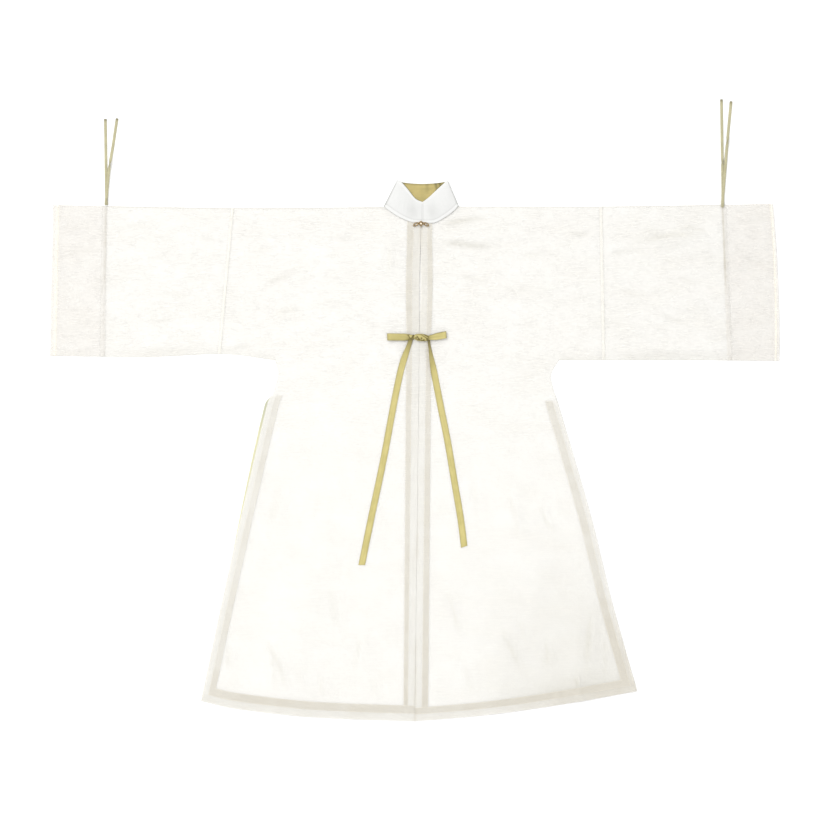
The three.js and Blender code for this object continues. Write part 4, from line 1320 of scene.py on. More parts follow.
@dataclass
class PanelLattice:
    """The points of one front or back panel and of what lies on it."""

    half: Half
    layer: Layer
    fine: bool = True
    x: Array = field(init=False)
    y: Array = field(init=False)
    low: Array = field(init=False)

    def __post_init__(self) -> None:
        """Works out the plan of every point."""
        half = self.half
        yoke = rows_down(self.fine)
        side = spread(UNDERARM_Y, half.slit_top, 14 if self.fine else 7)
        skirt = spread(0.0, 1.0, 112 if self.fine else 50)
        bands = spread(half.hem_width, half.hem_light, 3) + spread(half.hem_light, 0.0, 3)
        middle = [step / 58 for step in range(1, 58)] if self.fine else [step / 26 for step in range(1, 26)]
        light = half.slit_light
        self.centre_values = [0.0, 0.34, 0.67, 1.0, 1.34, 1.67, 2.0]
        self.side_values = [
            half.slit_width,
            mix(half.slit_width, light, 0.5),
            light,
            light * 0.62,
            5.0,
            2.5,
            1.2,
            0.4,
            0.0,
        ]
        stub = spread(0.0, 1.0, 18 if self.fine else 8)
        self.yoke_values = yoke
        self.light_column = len(self.centre_values) // 2
        self.placket_column = len(self.centre_values) - 1
        self.slit_column = self.placket_column + len(middle) + 1
        self.slit_light_column = self.slit_column + 2
        self.side_column = self.slit_column + len(self.side_values) - 1
        self.underarm_row = len(yoke) - 1
        self.slit_row = self.underarm_row + len(side)
        self.band_row = self.slit_row + len(skirt)
        self.band_light_row = self.band_row + 3
        rows = [("yoke", value) for value in yoke] + [("side", value) for value in side]
        rows += [("skirt", value) for value in skirt] + [("band", value) for value in bands]
        lines = [self._row(zone, value, middle, stub) for zone, value in rows]
        self.x = np.stack([line[0] for line in lines], 1)
        self.y = np.stack([line[1] for line in lines], 1)
        self.up = np.stack([line[2] for line in lines], 1)
        self.start_x = np.array([line[0][0] for line in lines])
        self.low = self._heights()

    def _row_y(self, zone: str, value: float, x: Array, across: Array) -> Array:
        """The height on the plan of one row at each of its points."""
        half = self.half
        if zone == "yoke":
            beyond = x * half.sign > half.underarm_x * half.sign
            foot = np.where(beyond, half.foot.at(x), UNDERARM_Y)
            top = half.top_y(x) if self.layer is Layer.FRONT else half.back_top_y(x)
            return mix(top, foot, value)
        if zone == "side":
            return np.full_like(x, value)
        hem = half.hem_y(across)
        if zone == "skirt":
            return mix(half.slit_top, hem + half.hem_width, value)
        return hem + value

    def _row(
        self, zone: str, value: float, middle: list[float], stub: list[float]
    ) -> tuple[Array, Array, Array]:
        """The plan of one row of points, and how far each is above the hem."""
        half, sign = self.half, self.half.sign
        middle_y = self._row_y(zone, value, np.array([CENTRE_TOP[0]]), np.array([0.0]))[0]
        edge_y = self._row_y(zone, value, np.array([half.underarm_x]), np.array([1.0]))[0]
        gap = opening_x(middle_y) if self.layer is Layer.FRONT else 0.0
        start = float(centre_x(middle_y) + sign * gap)
        edge = half.underarm_x if zone == "yoke" else float(half.side_x(edge_y))
        if self.layer is Layer.BACK and zone != "yoke":
            edge += sign * float(back_outset(half, edge_y))
        whole = float(half.placket_width(middle_y))
        facing_edge = start + sign * whole
        slit_edge = edge - sign * half.slit_width
        part = value if zone == "yoke" else 1.0
        stub_end = half.seam.x(part)
        x = [
            start + sign * (v * half.placket_light if v <= 1.0 else mix(half.placket_light, whole, v - 1.0))
            for v in self.centre_values
        ]
        x += [mix(facing_edge, slit_edge, v) for v in middle]
        x += [edge - sign * v for v in self.side_values]
        x += [mix(edge, stub_end, v) for v in stub]
        line = np.array(x)
        across = np.clip((line - start) / (edge - start), 0.0, 1.0)
        y = self._row_y(zone, value, line, across)
        return line, y, y - half.hem_y(across)

    def _heights(self) -> Array:
        """The underside of the layer, settled on what is under it along its free edges."""
        if self.layer is Layer.BACK:
            return self.half.back_height(self.x, self.y)
        low = self.half.front_height(self.x, self.y)
        from_opening = np.abs(self.x - self.start_x)
        below_slit = self.y <= self.half.slit_top
        from_slit = np.where(below_slit, np.abs(self.half.side_x(self.y) - self.x), 99.0)
        nearest = np.minimum(np.minimum(from_opening, from_slit), np.maximum(self.up, 0.0))
        lifted = 0.75 + 0.25 * ripple(self.x / 34.0, self.y / 41.0, 17)
        settled = 0.75 * lifted * (1.0 - ease(nearest / 16.0))
        return low - settled * self.half.freedom(self.x, self.y)

    def cells(self, rule: Callable[[Array, Array], Array]) -> Array:
        """Marks the cells for which a rule on column and row holds."""
        columns, rows = self.x.shape
        i, j = np.meshgrid(np.arange(columns - 1), np.arange(rows - 1), indexing="ij")
        return rule(i, j)

    def panel_cells(self) -> Array:
        """The cells of the panel itself."""
        return self.cells(lambda i, j: (i < self.side_column) | (j < self.underarm_row))

    def slit_cells(self) -> Array:
        """Cells of the facing beside the slit."""
        return self.cells(
            lambda i, j: (i >= self.slit_column)
            & (i < self.side_column)
            & (j >= self.slit_row)
            & (j < self.band_row)
        )

    def hem_cells(self) -> Array:
        """Cells of the facing along the hem."""
        return self.cells(lambda i, j: (i < self.side_column) & (j >= self.band_row))

    def turned_hem_cells(self) -> Array:
        """Cells above the turned-under edge of the hem facing."""
        return self.cells(lambda i, j: (j < self.band_light_row) & (i < self.slit_light_column))

    def cloth(self, cells: Array, lift: float, thick: float = CLOTH, shade: Shade = 0.0) -> Body:
        """A layer of cloth on some of the cells."""
        return laid_cloth(self.x, self.y, self.low + lift, thick, cells, shade)

    def line(self, column: int | None, row: int | None, lift: float, first: int, last: int) -> Array:
        """A line of points along one column or one row, a distance above the layer."""
        if column is not None:
            part = (slice(column, column + 1), slice(first, last + 1))
        else:
            part = (slice(first, last + 1), slice(row, row + 1))
        return np.stack(
            [self.x[part].ravel(), self.y[part].ravel(), self.low[part].ravel() + CLOTH + lift], 1
        )


@dataclass
class SleeveLattice:
    """The points of one sleeve's front or back and of the cuff facing and casing on it."""

    half: Half
    layer: Layer
    fine: bool = True

    def __post_init__(self) -> None:
        """Works out the plan of every point."""
        half, sign = self.half, self.half.sign
        start = half.seam
        casing_end = half.casing.shifted(sign * 12.0)
        cuff_hem = half.cuff.shifted(-sign * 17.0)
        along = 62 if self.fine else 24
        lines = [start, *(start.toward(half.casing, part) for part in spread(0.0, 1.0, along))]
        self.casing_column = len(lines) - 1
        lines += [half.casing.toward(casing_end, part) for part in spread(0.0, 1.0, 6)]
        self.facing_column = len(lines) - 1
        lines += [casing_end.toward(cuff_hem, part) for part in spread(0.0, 1.0, 22 if self.fine else 8)]
        self.hem_column = len(lines) - 1
        lines += [cuff_hem.toward(half.cuff, part) for part in spread(0.0, 1.0, 12)]
        self.parts = np.array(rows_down(self.fine))
        self.x = np.stack([np.broadcast_to(line.x(self.parts), self.parts.shape) for line in lines])
        self.y = mix(half.top_y(self.x), half.foot.at(self.x), self.parts[None, :])
        if self.layer is Layer.FRONT:
            self.low = half.front_height(self.x, self.y)
        else:
            self.low = half.back_height(self.x, self.y)

    def cells(self, first: int, last: int) -> Array:
        """The cells between two columns."""
        cells = np.zeros((self.x.shape[0] - 1, self.x.shape[1] - 1), bool)
        cells[first:last] = True
        return cells

    def cloth(
        self, first: int, last: int, lift: Number, thick: float = CLOTH, shade: Shade = 0.0
    ) -> Body:
        """A layer of cloth between two columns."""
        return laid_cloth(self.x, self.y, self.low + lift, thick, self.cells(first, last), shade)

    def line(self, column: int, lift: float, shift: float = 0.0) -> Array:
        """A line of points down one column, a distance above the layer."""
        last = self.x.shape[1] - 3
        part = (column, slice(2, last))
        return np.stack([self.x[part] + shift, self.y[part], self.low[part] + CLOTH + lift], 1)


def plan_area(piece: bpy.types.Object) -> float:
    """Half the surface of a thin closed piece, which is the area of its cloth."""
    return sum(polygon.area for polygon in piece.data.polygons) / 2.0


@dataclass(frozen=True)
class BodyCloth:
    """The fronts, backs and sleeves, with the facings, bands and casings on them."""

    finishes: Finishes
    stitches: StitchRow

    def turned_density_and_shade(self, half: Half, x: Array, y: Array) -> Array:
        """How dense the turned-under strips look, uneven, with painted shade toward the lower right corner
        and the hem.
        """
        # Painted shade: darker toward the lower right corner and toward the hem, where the light falls off.
        corner = ease((x - 150.0) / 320.0) * ease((-y - 250.0) / 300.0)
        low = 0.16 * ease((-y - 430.0) / 160.0)
        base = mix(TURNED_SHADE, 0.38, ease((-x - 250.0) / 80.0) * ease((y + 560.0) / 60.0))
        base = mix(base, 0.5, ease((x - 250.0) / 80.0) * ease((y + 480.0) / 200.0))
        return base + 0.16 * ripple(x / 21.0, y / 21.0, 41 + half.sign) + 0.6 * corner + low

    def opening_shadow(self, x: Array, y: Array) -> Array:
        """Painted shadow: the broken dark line where the fronts press together, at two places down the
        opening, and a grey line below the clasp.
        """
        upper = ease((-y - 158.0) / 12.0) * ease((y + 262.0) / 14.0)
        lower = ease((-y - 440.0) / 14.0)
        broken = 0.6 + 0.5 * ripple(y / 5.5, 0.3, 35)
        below_clasp = 0.7 * ease((y - 470.0) / 40.0)
        return (broken * (upper + lower) + below_clasp) * bell(x - centre_x(y) - 0.8, 1.6)

    def declare(self, width: float, length: float) -> None:
        """Works out the area of a piece's cut, which nothing else uses.

        Args:
            width: Width of its cut, in millimetres.
            length: Length of its cut, in millimetres.
        """
        whole = width * length * MM * MM

    def build(self) -> None:
        """Builds both halves."""
        for half in HALVES:
            back = PanelLattice(half, Layer.BACK, fine=False)
            self.build_back(half, back)
            self.build_back_sleeve(half)
            front = PanelLattice(half, Layer.FRONT)
            self.build_front(half, front)
            self.build_front_sleeve(half)

    def build_back(self, half: Half, back: PanelLattice) -> None:
        """Builds one half of the back and the facings on its inside."""
        name = half.name
        # Painted shade: the back and its hem band darker toward the lower right corner, where the light
        # falls off.
        corner = 0.9 * ease((back.x - 110.0) / 330.0) * ease((-back.y - 550.0) / 45.0)
        panel = mesh_piece(f"back_cloth_{name}", [back.cloth(back.panel_cells(), 0.0, shade=corner)])
        place_piece(panel, self.finishes.sheer, Slot.SHEER, f"back_{name}")
        self.declare(520.0, 1220.0)
        strip = back.slit_cells()
        inner = back.cells(lambda i, j: i < back.slit_light_column)
        single = back.cloth(strip & ~inner, PLY)
        turned = back.cloth(strip & inner, PLY, shade=0.8)
        slit = mesh_piece(f"back_slit_strip_{name}", [single, turned])
        place_piece(slit, self.finishes.facing, Slot.FACING, f"back_slit_facing_{name}")
        self.declare(half.slit_width, 740.0)
        band, deep = back.hem_cells(), back.turned_hem_cells()
        single = back.cloth(band & ~deep, PLY, shade=corner)
        turned = back.cloth(band & deep, PLY, shade=0.8 + 0.2 * corner)
        hem = mesh_piece(f"back_hem_band_{name}", [single, turned])
        place_piece(hem, self.finishes.facing, Slot.FACING, f"back_hem_facing_{name}")
        self.declare(half.hem_width, 505.0)

    def build_back_sleeve(self, half: Half) -> None:
        """Builds the back of one sleeve."""
        back = SleeveLattice(half, Layer.BACK, fine=False)
        piece = mesh_piece(f"back_sleeve_cloth_{half.name}", [back.cloth(0, back.x.shape[0] - 1, 0.0)])
        place_piece(piece, self.finishes.sheer, Slot.SHEER, f"back_sleeve_{half.name}")
        self.declare(432.0, 372.0)

    def build_front(self, half: Half, front: PanelLattice) -> None:
        """Builds one front and the placket, slit facing and hem facing on it."""
        name = half.name
        shade = half.front_painted_shade(front.x, front.y)
        panel = mesh_piece(f"front_cloth_{name}", [front.cloth(front.panel_cells(), 0.0, shade=shade)])
        place_piece(panel, self.finishes.sheer, Slot.SHEER, f"front_{name}")
        self.declare(520.0, 1215.0)
        lift = 2.0 * PLY
        first_row = next(index for index, part in enumerate(front.yoke_values) if part >= 0.009)
        placket = front.cells(
            lambda i, j: (i < front.placket_column) & (j >= first_row) & (j < front.band_row)
        )
        turned = ~front.cells(lambda i, j: i < front.light_column)
        self.band(f"placket_band_{name}", front, placket, turned, f"placket_{name}", 30.0, 1130.0)
        slit, turned = front.slit_cells(), front.cells(lambda i, j: i < front.slit_light_column)
        replaced = f"front_slit_facing_{name}"
        self.band(f"slit_strip_{name}", front, slit, turned, replaced, half.slit_width, 740.0)
        hem, turned = front.hem_cells(), front.turned_hem_cells()
        replaced = f"front_hem_facing_{name}"
        self.band(f"hem_band_{name}", front, hem, turned, replaced, half.hem_width, 505.0)
        rows = [
            front.line(front.placket_column, None, lift, first_row + 1, front.band_row),
            front.line(front.light_column, None, lift, first_row + 1, front.band_row),
            front.line(front.slit_column, None, lift, front.slit_row + 1, front.band_row),
            front.line(front.slit_light_column, None, lift, front.slit_row + 1, front.band_light_row),
            front.line(None, front.band_row, lift, 0, front.slit_column),
            front.line(None, front.band_light_row, lift, 0, front.slit_light_column),
        ]
        thread = self.stitches.sew(f"band_stitches_{name}", rows, self.finishes.thread, 4.2, 2.3, 0.34)
        place_piece(thread, self.finishes.thread, Slot.FACING)

    def band(
        self,
        name: str,
        front: PanelLattice,
        whole: Array,
        turned: Array,
        replaced: str,
        width: float,
        length: float,
    ) -> None:
        """Builds a facing with its edge turned under, which makes its inner strip denser.

        Args:
            name: Name of the piece.
            front: The panel that it lies on.
            whole: All its cells.
            turned: Cells of the panel with a turned-under ply beneath the facing.
            replaced: The solid that it stands for.
            width: Width of its cut.
            length: Length of its cut.
        """
        density_and_shade = self.turned_density_and_shade(front.half, front.x, front.y)
        # The single ply takes the painted corner shade above the turned value, the painted shadow of the
        # opening, and darkens toward the top of the placket.
        single = np.maximum(density_and_shade - TURNED_SHADE, 0.0) + self.opening_shadow(front.x, front.y)
        single = single + 0.3 * ease((front.y - 250.0) / 60.0) * (np.abs(front.x) < 60.0)
        bodies = [
            front.cloth(whole & ~turned, 2.0 * PLY, shade=single),
            front.cloth(whole & turned, 2.0 * PLY, shade=density_and_shade),
            front.cloth(whole & turned, PLY, thick=0.2, shade=density_and_shade),
        ]
        piece = mesh_piece(name, bodies)
        place_piece(piece, self.finishes.facing, Slot.FACING, replaced)
        area = plan_area(piece)
        widened = max(width, area / (length * MM * MM))
        self.declare(widened, length)

    def build_front_sleeve(self, half: Half) -> None:
        """Builds the front of one sleeve with its cuff facing and drawstring casing."""
        name, sign = half.name, half.sign
        front = SleeveLattice(half, Layer.FRONT)
        last = front.x.shape[0] - 1
        shade = half.front_painted_shade(front.x, front.y)
        panel = mesh_piece(f"sleeve_cloth_{name}", [front.cloth(0, last, 0.0, shade=shade)])
        place_piece(panel, self.finishes.sheer, Slot.SHEER, f"front_sleeve_{name}")
        self.declare(432.0, 372.0)
        inset, spread_out = (11.0, 4.6) if sign < 0 else (mix(3.6, 9.0, front.parts)[None, :], 2.3)
        from_edge = np.abs(front.x - half.cuff.x(front.parts)[None, :])
        uneven = 1.0 + 0.2 * ripple(front.y / 14.0, 0.7, 19 + sign)
        seamed = (0.85 if sign > 0 else 0.6) * bell(from_edge - inset, spread_out) * uneven
        cuff = mesh_piece(
            f"cuff_cloth_{name}",
            [
                front.cloth(front.facing_column, front.hem_column, 2.0 * PLY, shade=seamed),
                front.cloth(front.hem_column, last, 2.0 * PLY, shade=seamed),
                front.cloth(front.hem_column, last, PLY, thick=0.2, shade=seamed),
            ],
        )
        place_piece(cuff, self.finishes.cuff, Slot.FACING, f"cuff_facing_{name}")
        self.declare(135.0, 366.0)
        across = np.arange(front.x.shape[0])[:, None] - front.casing_column
        dome = 1.0 - np.clip(np.abs(across / 3.0 - 1.0), 0.0, 1.0) ** 2
        pucker = 1.0 + 0.55 * ripple(front.y / 7.0, 0.3, 23 + sign)
        held = half.lip(front.x, front.y)
        cord_seen = 1.0 - 0.9 * ease((front.parts[None, :] - 0.42) / 0.2)
        cord = bell(across - 1.4, 1.1) * cord_seen * (1.0 + 0.35 * ripple(front.y / 8.0, 0.1, 27 + sign))
        # Painted shade: uneven dark spots in the casing's gathers.
        gather_shade = 0.18 * np.maximum(ripple(front.y / 6.0, across / 2.0, 29), 0.0)
        cord = (0.5 if sign > 0 else 0.28) * cord + gather_shade
        lift = PLY + 1.15 * dome * pucker * held
        tunnel = front.cloth(front.casing_column, front.facing_column, lift, shade=cord)
        casing = mesh_piece(f"casing_cloth_{name}", [tunnel])
        place_piece(casing, self.finishes.casing, Slot.FACING, f"casing_{name}")
        self.declare(14.0, 366.0)
        rows = [
            front.line(front.casing_column, 0.35, sign * 0.8),
            front.line(front.facing_column, 0.75, -sign * 0.8),
            front.line(front.facing_column, 0.95, sign * 1.6),
        ]
        white = self.finishes.white_thread
        thread = self.stitches.sew(f"casing_stitches_{name}", rows, white, 3.4, 2.5, 0.5)
        place_piece(thread, white, Slot.FACING)
        hems = [front.line(front.hem_column, 0.9, sign * (3.0 if sign < 0 else 9.5))]
        thread = self.stitches.sew(f"cuff_stitches_{name}", hems, self.finishes.thread, 3.6, 2.5, 0.5)
        place_piece(thread, self.finishes.thread, Slot.FACING)
        self.build_seam(half, front)

    def build_seam(self, half: Half, front: SleeveLattice) -> None:
        """Builds the flat-felled seam that joins one sleeve to the body, with its two rows of stitches."""
        name, sign = half.name, half.sign
        offsets = np.array([0.3, 1.2, 2.2, 3.6, 5.0, 6.0, 6.9])
        x = half.seam.x(front.parts)[None, :] + sign * offsets[:, None]
        y = mix(half.top_y(x), half.foot.at(x), front.parts[None, :])
        rise = 0.45 * np.sin(np.pi * (offsets - 0.3) / 6.6)[:, None] * half.lip(x, y)
        low = half.front_height(x, y) + PLY + rise
        shade = 0.5 * (bell(offsets - 0.3, 0.7) + bell(offsets - 6.9, 0.7))[:, None]
        tape = mesh_piece(f"seam_tape_{name}", [padded_cloth(x, y, low, low + 0.3, shade)])
        place_piece(tape, self.finishes.tape, Slot.SHEER)
        self.declare(13.4, 366.0)
        rows = [place_of(x[row, 3:-3], y[row, 3:-3], low[row, 3:-3] + 0.34) for row in (1, 5)]
        white = self.finishes.white_thread
        thread = self.stitches.sew(f"sleeve_seam_stitches_{name}", rows, white, 3.4, 2.6, 0.45)
        place_piece(thread, white, Slot.SHEER)


@dataclass(frozen=True)
class SlitBinding:
    """The olive binding folded round the edge of the back, beside the left slit."""

    finishes: Finishes
    stations: int = 90
    thick: float = 0.22

    def build(self) -> None:
        """Builds the binding."""
        top = LEFT.slit_top - BINDING_OVERLAP
        y = np.linspace(top, BINDING_END_Y, self.stations)
        edge = LEFT.side_x(y) - back_outset(LEFT, y)
        profile = np.array(
            [
                (BINDING_WIDTH, 1.22),
                (4.5, 1.3),
                (2.4, 1.3),
                (0.9, 1.22),
                (0.1, 0.98),
                (-0.15, 0.62),
                (0.1, 0.26),
                (0.9, 0.08),
                (3.0, 0.06),
                (BINDING_WIDTH, 0.06),
            ]
        )
        sway = 0.18 * ripple(y / 26.0, 0.4, 61)
        x = edge[:, None] + profile[None, :, 0] + sway[:, None]
        z = np.broadcast_to(profile[None, :, 1], x.shape)
        waves = ripple(y[:, None] / 18.0, profile[None, :, 0] / 4.0, 62)
        z = z + (profile[None, :, 1] > 0.9) * 0.16 * waves
        points = place_of(x, np.broadcast_to(y[:, None], x.shape), z)
        around = run_along(profile)
        flat = np.stack(np.broadcast_arrays(y[:, None], around[None, :]), -1)
        # Painted shade: the binding darker toward the top.
        shade = 0.75 * ease((y - 20.0) / 90.0)[:, None] + 0.1
        piece = mesh_piece("slit_binding_ribbon", [thick_cloth(points, self.thick, flat, shade)])
        place_piece(piece, self.finishes.binding, Slot.OLIVE, "slit_binding")


# ---- the collar -----------------------------------------------------------------------------
@dataclass(frozen=True)
class CollarWing:
    """One front half of the stand collar, pressed flat."""

    name: str
    outer_first: bool
    lower_x: Curve
    lower_y: Curve
    upper_x: Curve
    upper_y: Curve

    def plan(self, across: Array, up: Array) -> tuple[Array, Array]:
        """The plan of points, from the outer fold or the centre, and from the neck to the rim."""
        x = mix(self.lower_x.at(across), self.upper_x.at(across), up)
        y = mix(self.lower_y.at(across), self.upper_y.at(across), up)
        return x, y

    def from_fold(self, across: Array) -> Array:
        """How far along a point is from the outer fold, 0 to 1."""
        part = across / 4.0
        return part if self.outer_first else 1.0 - part


WING_LEFT = CollarWing(
    "left",
    True,
    Curve(((0, -72.6), (1, -58), (2, -36), (3, -8), (4, 18.86))),
    Curve(((0, 573.6), (1, 562.4), (2, 548.5), (3, 537.3), (4, 535.6))),
    Curve(((0, -41.1), (1, -31.8), (2, -17), (3, 2), (4, 18.86))),
    Curve(((0, 635), (1, 631.8), (2, 616), (3, 592.5), (4, 584.3))),
)
WING_RIGHT = CollarWing(
    "right",
    False,
    Curve(((0, 18.94), (1, 47), (2, 72), (3, 92), (4, 103.4))),
    Curve(((0, 535.6), (1, 535.4), (2, 548.0), (3, 562.8), (4, 575.3))),
    Curve(((0, 18.94), (1, 34), (2, 52.4), (3, 72), (4, 78))),
    Curve(((0, 584.3), (1, 595.8), (2, 613.1), (3, 630.8), (4, 634.6))),
)


@dataclass(frozen=True)
class Collar:
    """The stand collar: two wings, the back, and the olive lining seen between them."""

    finishes: Finishes
    stitches: StitchRow
    low: float = 3.95
    belly: float = 3.4
    thick: float = 0.95
    edge_band: float = 6.6
    fold_lip: float = 5.0

    def build(self) -> None:
        """Builds the collar."""
        self.build_back()
        for wing in (WING_LEFT, WING_RIGHT):
            self.build_wing(wing)

    def wing_height(self, wing: CollarWing, across: Array, up: Array, beyond: Array) -> Array:
        """The top face of a wing: bellied, with rolled edges and a stitched band."""
        fold = wing.from_fold(across)
        belly = self.belly * np.sin(np.pi * np.clip(up, 0.0, 1.0)) * np.sin(np.pi * fold)
        sag = -0.9 * bell((fold - 0.72) * WING_WIDE, 17.0) * bell((up - 0.42) * WING_TALL, 22.0)
        from_neck, from_rim = up * WING_TALL, (1.0 - up) * WING_TALL
        groove = -0.34 * bell(from_neck - self.edge_band, 1.3)
        edge = 0.45 * (1.0 - ease((from_neck - self.edge_band + 1.0) / 2.0))
        rim_roll = 0.7 * bell(from_rim - 2.0, 2.6)
        rim_turn = -1.6 * (1.0 - np.sqrt(1.0 - (1.0 - np.clip(from_rim / 1.8, 0.0, 1.0)) ** 2))
        neck_turn = -1.0 * (1.0 - np.sqrt(1.0 - (1.0 - np.clip(from_neck / 1.2, 0.0, 1.0)) ** 2))
        from_side = fold * WING_WIDE
        side_groove = -0.3 * bell(from_side - 6.2, 1.2)
        creases = 0.25 * ripple(across * 3.2, up * 2.2, 71)
        creases = creases + 0.2 * ripple(across * 7.0 + up * 3.0, up * 3.0, 72)
        full = self.low + self.thick + belly + sag + groove + edge + rim_roll + rim_turn + neck_turn
        full = full + side_groove + creases * np.sin(np.pi * np.clip(up, 0.0, 1.0)) + beyond
        lip = np.sqrt(1.0 - (1.0 - np.clip(from_side / self.fold_lip, 0.0, 1.0)) ** 2)
        return mix(1.2, full, lip)

    def wing_painted_light(self, wing: CollarWing, fold: Array, up: Array) -> Array:
        """Painted light on a wing: painted shade at its outer fold, its stitched band, the neck, the centre
        and its middle, and painted highlight along the rim and the neck border.
        """
        from_side, from_centre = fold * WING_WIDE, (1.0 - fold) * WING_WIDE
        from_neck, from_rim = up * WING_TALL, (1.0 - up) * WING_TALL
        # The left wing's fold gets deeper and wider painted shade than the right's.
        depth, width = (1.3, 2.4) if wing.outer_first else (0.95, 1.7)
        shade = depth * bell(from_side - 1.2, width) + 0.4 * bell(from_side - 7.0, 1.3)
        middle = bell((fold - 0.74) * WING_WIDE, 15.0) * bell((up - 0.45) * WING_TALL, 20.0)
        shade = shade + 0.2 * middle
        shade = shade + 0.26 * bell(from_neck - self.edge_band - 0.8, 1.6) + 0.3 * bell(from_neck, 1.0)
        # Painted shade along the centre edge; painted highlight along the rolled rim and the neck border.
        shade = shade + 0.24 * bell(from_centre - 2.4, 1.2) - 0.35 * bell(from_rim - 2.0, 3.2)
        return shade - 0.35 * bell(from_neck - 3.6, 2.4) + 0.1

    def build_wing(self, wing: CollarWing) -> None:
        """Builds one wing and the edge of its lining."""
        columns, rows = 84, 44
        eased = np.concatenate([[0.0, 0.003, 0.009, 0.02], np.linspace(0.035, 1.0, columns - 4)])
        parts = eased if wing.outer_first else (1.0 - eased)[::-1]
        inner = np.linspace(0.04, 0.96, rows - 8)
        ups = np.concatenate([[0.0, 0.004, 0.012, 0.022], inner, [0.978, 0.988, 0.996, 1.0]])
        across, up = np.meshgrid(parts * 4.0, ups, indexing="ij")
        x, y = wing.plan(across, up)
        top = self.wing_height(wing, across, up, np.zeros_like(up))
        fold = wing.from_fold(across)
        under = np.maximum(np.minimum(top - 0.35, mix(0.5, self.low, ease(fold * 16.0))), 0.4)
        low = np.maximum(top - self.thick, under)
        body = padded_cloth(x, y, low, top, self.wing_painted_light(wing, fold, up))
        piece = mesh_piece(f"collar_wing_{wing.name}", [body], 60.0)
        place_piece(piece, self.finishes.collar, Slot.COLLAR, f"collar_{wing.name}")
        self.build_wing_lining(wing)
        self.sew_wing(wing)

    def build_wing_lining(self, wing: CollarWing) -> None:
        """Builds the olive lining of a wing, of which only its edge shows."""
        reach = np.linspace(0.08, 0.985, 60)
        parts = reach if wing.outer_first else (1.0 - reach)[::-1]
        inward = np.linspace(-12.0, 1.3, 14)
        across, out = np.meshgrid(parts * 4.0, inward, indexing="ij")
        hidden = 1.0 - ease((wing.from_fold(across) - 0.2) / 0.12)
        out = out - 3.4 * hidden
        up = 1.0 + out / WING_TALL
        x, y = wing.plan(across, up)
        top = self.wing_height(wing, across, np.minimum(up, 1.0), np.zeros_like(up))
        height = top - self.thick - 0.35 - 0.5 * np.clip(out + 1.0, 0.0, 3.0)
        height = np.maximum(height, 2.1)
        # Painted shade on the lining's edge where it shows beyond the wing.
        shade = np.broadcast_to(0.55 + 0.35 * ease((out + 1.0) / 2.0), x.shape)
        body = thick_cloth(place_of(x, y, height), 0.25, np.stack([x, y], -1), shade)
        piece = mesh_piece(f"collar_wing_lining_{wing.name}", [body])
        place_piece(piece, self.finishes.lining, Slot.OLIVE)

    def sew_wing(self, wing: CollarWing) -> None:
        """Sews the rows of stitches along the neck, the rim and the outer fold."""
        reach = np.linspace(0.05, 0.985, 90)
        parts = reach if wing.outer_first else (1.0 - reach)[::-1]
        lines = []
        for up in (self.edge_band / WING_TALL, 1.0 - 4.6 / WING_TALL):
            across, level = parts * 4.0, np.full(len(parts), up)
            x, y = wing.plan(across, level)
            height = self.wing_height(wing, across, level, np.zeros(len(parts)))
            lines.append(place_of(x, y, height + 0.06))
        white = self.finishes.white_thread
        thread = self.stitches.sew(f"collar_stitches_{wing.name}", lines, white, 3.2, 2.3, 0.4)
        place_piece(thread, white, Slot.COLLAR)

    def build_back(self) -> None:
        """Builds the back of the collar and its lining."""
        columns, rows = 60, 26
        part, up = np.meshgrid(np.linspace(0.0, 1.0, columns), np.linspace(0.0, 1.0, rows), indexing="ij")
        neck_x = mix(NECK_LEFT[0] + 1.5, NECK_RIGHT[0] - 5.0, part)
        hang = 5.0 * 4.0 * part * (1.0 - part)
        for name, inset, level, slot, material, node in (
            ("collar_back_cloth", 0.0, 0.3, Slot.COLLAR, self.finishes.collar, "collar_back"),
            ("collar_lining_satin", 0.5, 1.45, Slot.OLIVE, self.finishes.lining, "collar_lining"),
        ):
            rim_x = mix(-40.4 + inset, 76.8 - inset, part)
            rim_y = 632.8 - inset - 1.1 * hang
            x = mix(neck_x, rim_x, up)
            y = mix(back_neck_y(neck_x) + 0.4 + inset, rim_y, up)
            waves = 0.35 * ripple(part * 9.0 + up, up * 1.4, 81) + 0.25 * ripple(part * 21.0, up * 2.0, 82)
            deep = (level > 1.0) * waves * np.sin(np.pi * np.clip(part, 0.0, 1.0)) * ease((1.0 - up) * 8.0)
            low = level + np.maximum(deep, -0.4)
            from_rim = (1.0 - up) * 66.0
            turn = np.sqrt(1.0 - (1.0 - np.clip(from_rim / 1.4, 0.0, 1.0)) ** 2)
            high = low + 0.35 + (0.35 if level > 1.0 else 0.5) * turn
            # Painted shade in the lining's folds toward the rim, and along the rim where it turns.
            folds = ((0.77, 3.0, 0.7), (0.85, 3.4, 0.85), (0.6, 4.0, 0.3), (0.13, 6.0, 0.25))
            fold_shade = sum(depth * bell((part - place) * WING_WIDE, width) for place, width, depth in folds)
            shade = 0.75 * bell(from_rim - 0.6, 1.7) + fold_shade * ease((up - 0.55) / 0.35)
            piece = mesh_piece(name, [padded_cloth(x, y, low, high, shade if level > 1.0 else 0.0)])
            place_piece(piece, material, slot, node)
            [] if level < 1.0 else ["collar_back_cloth"]


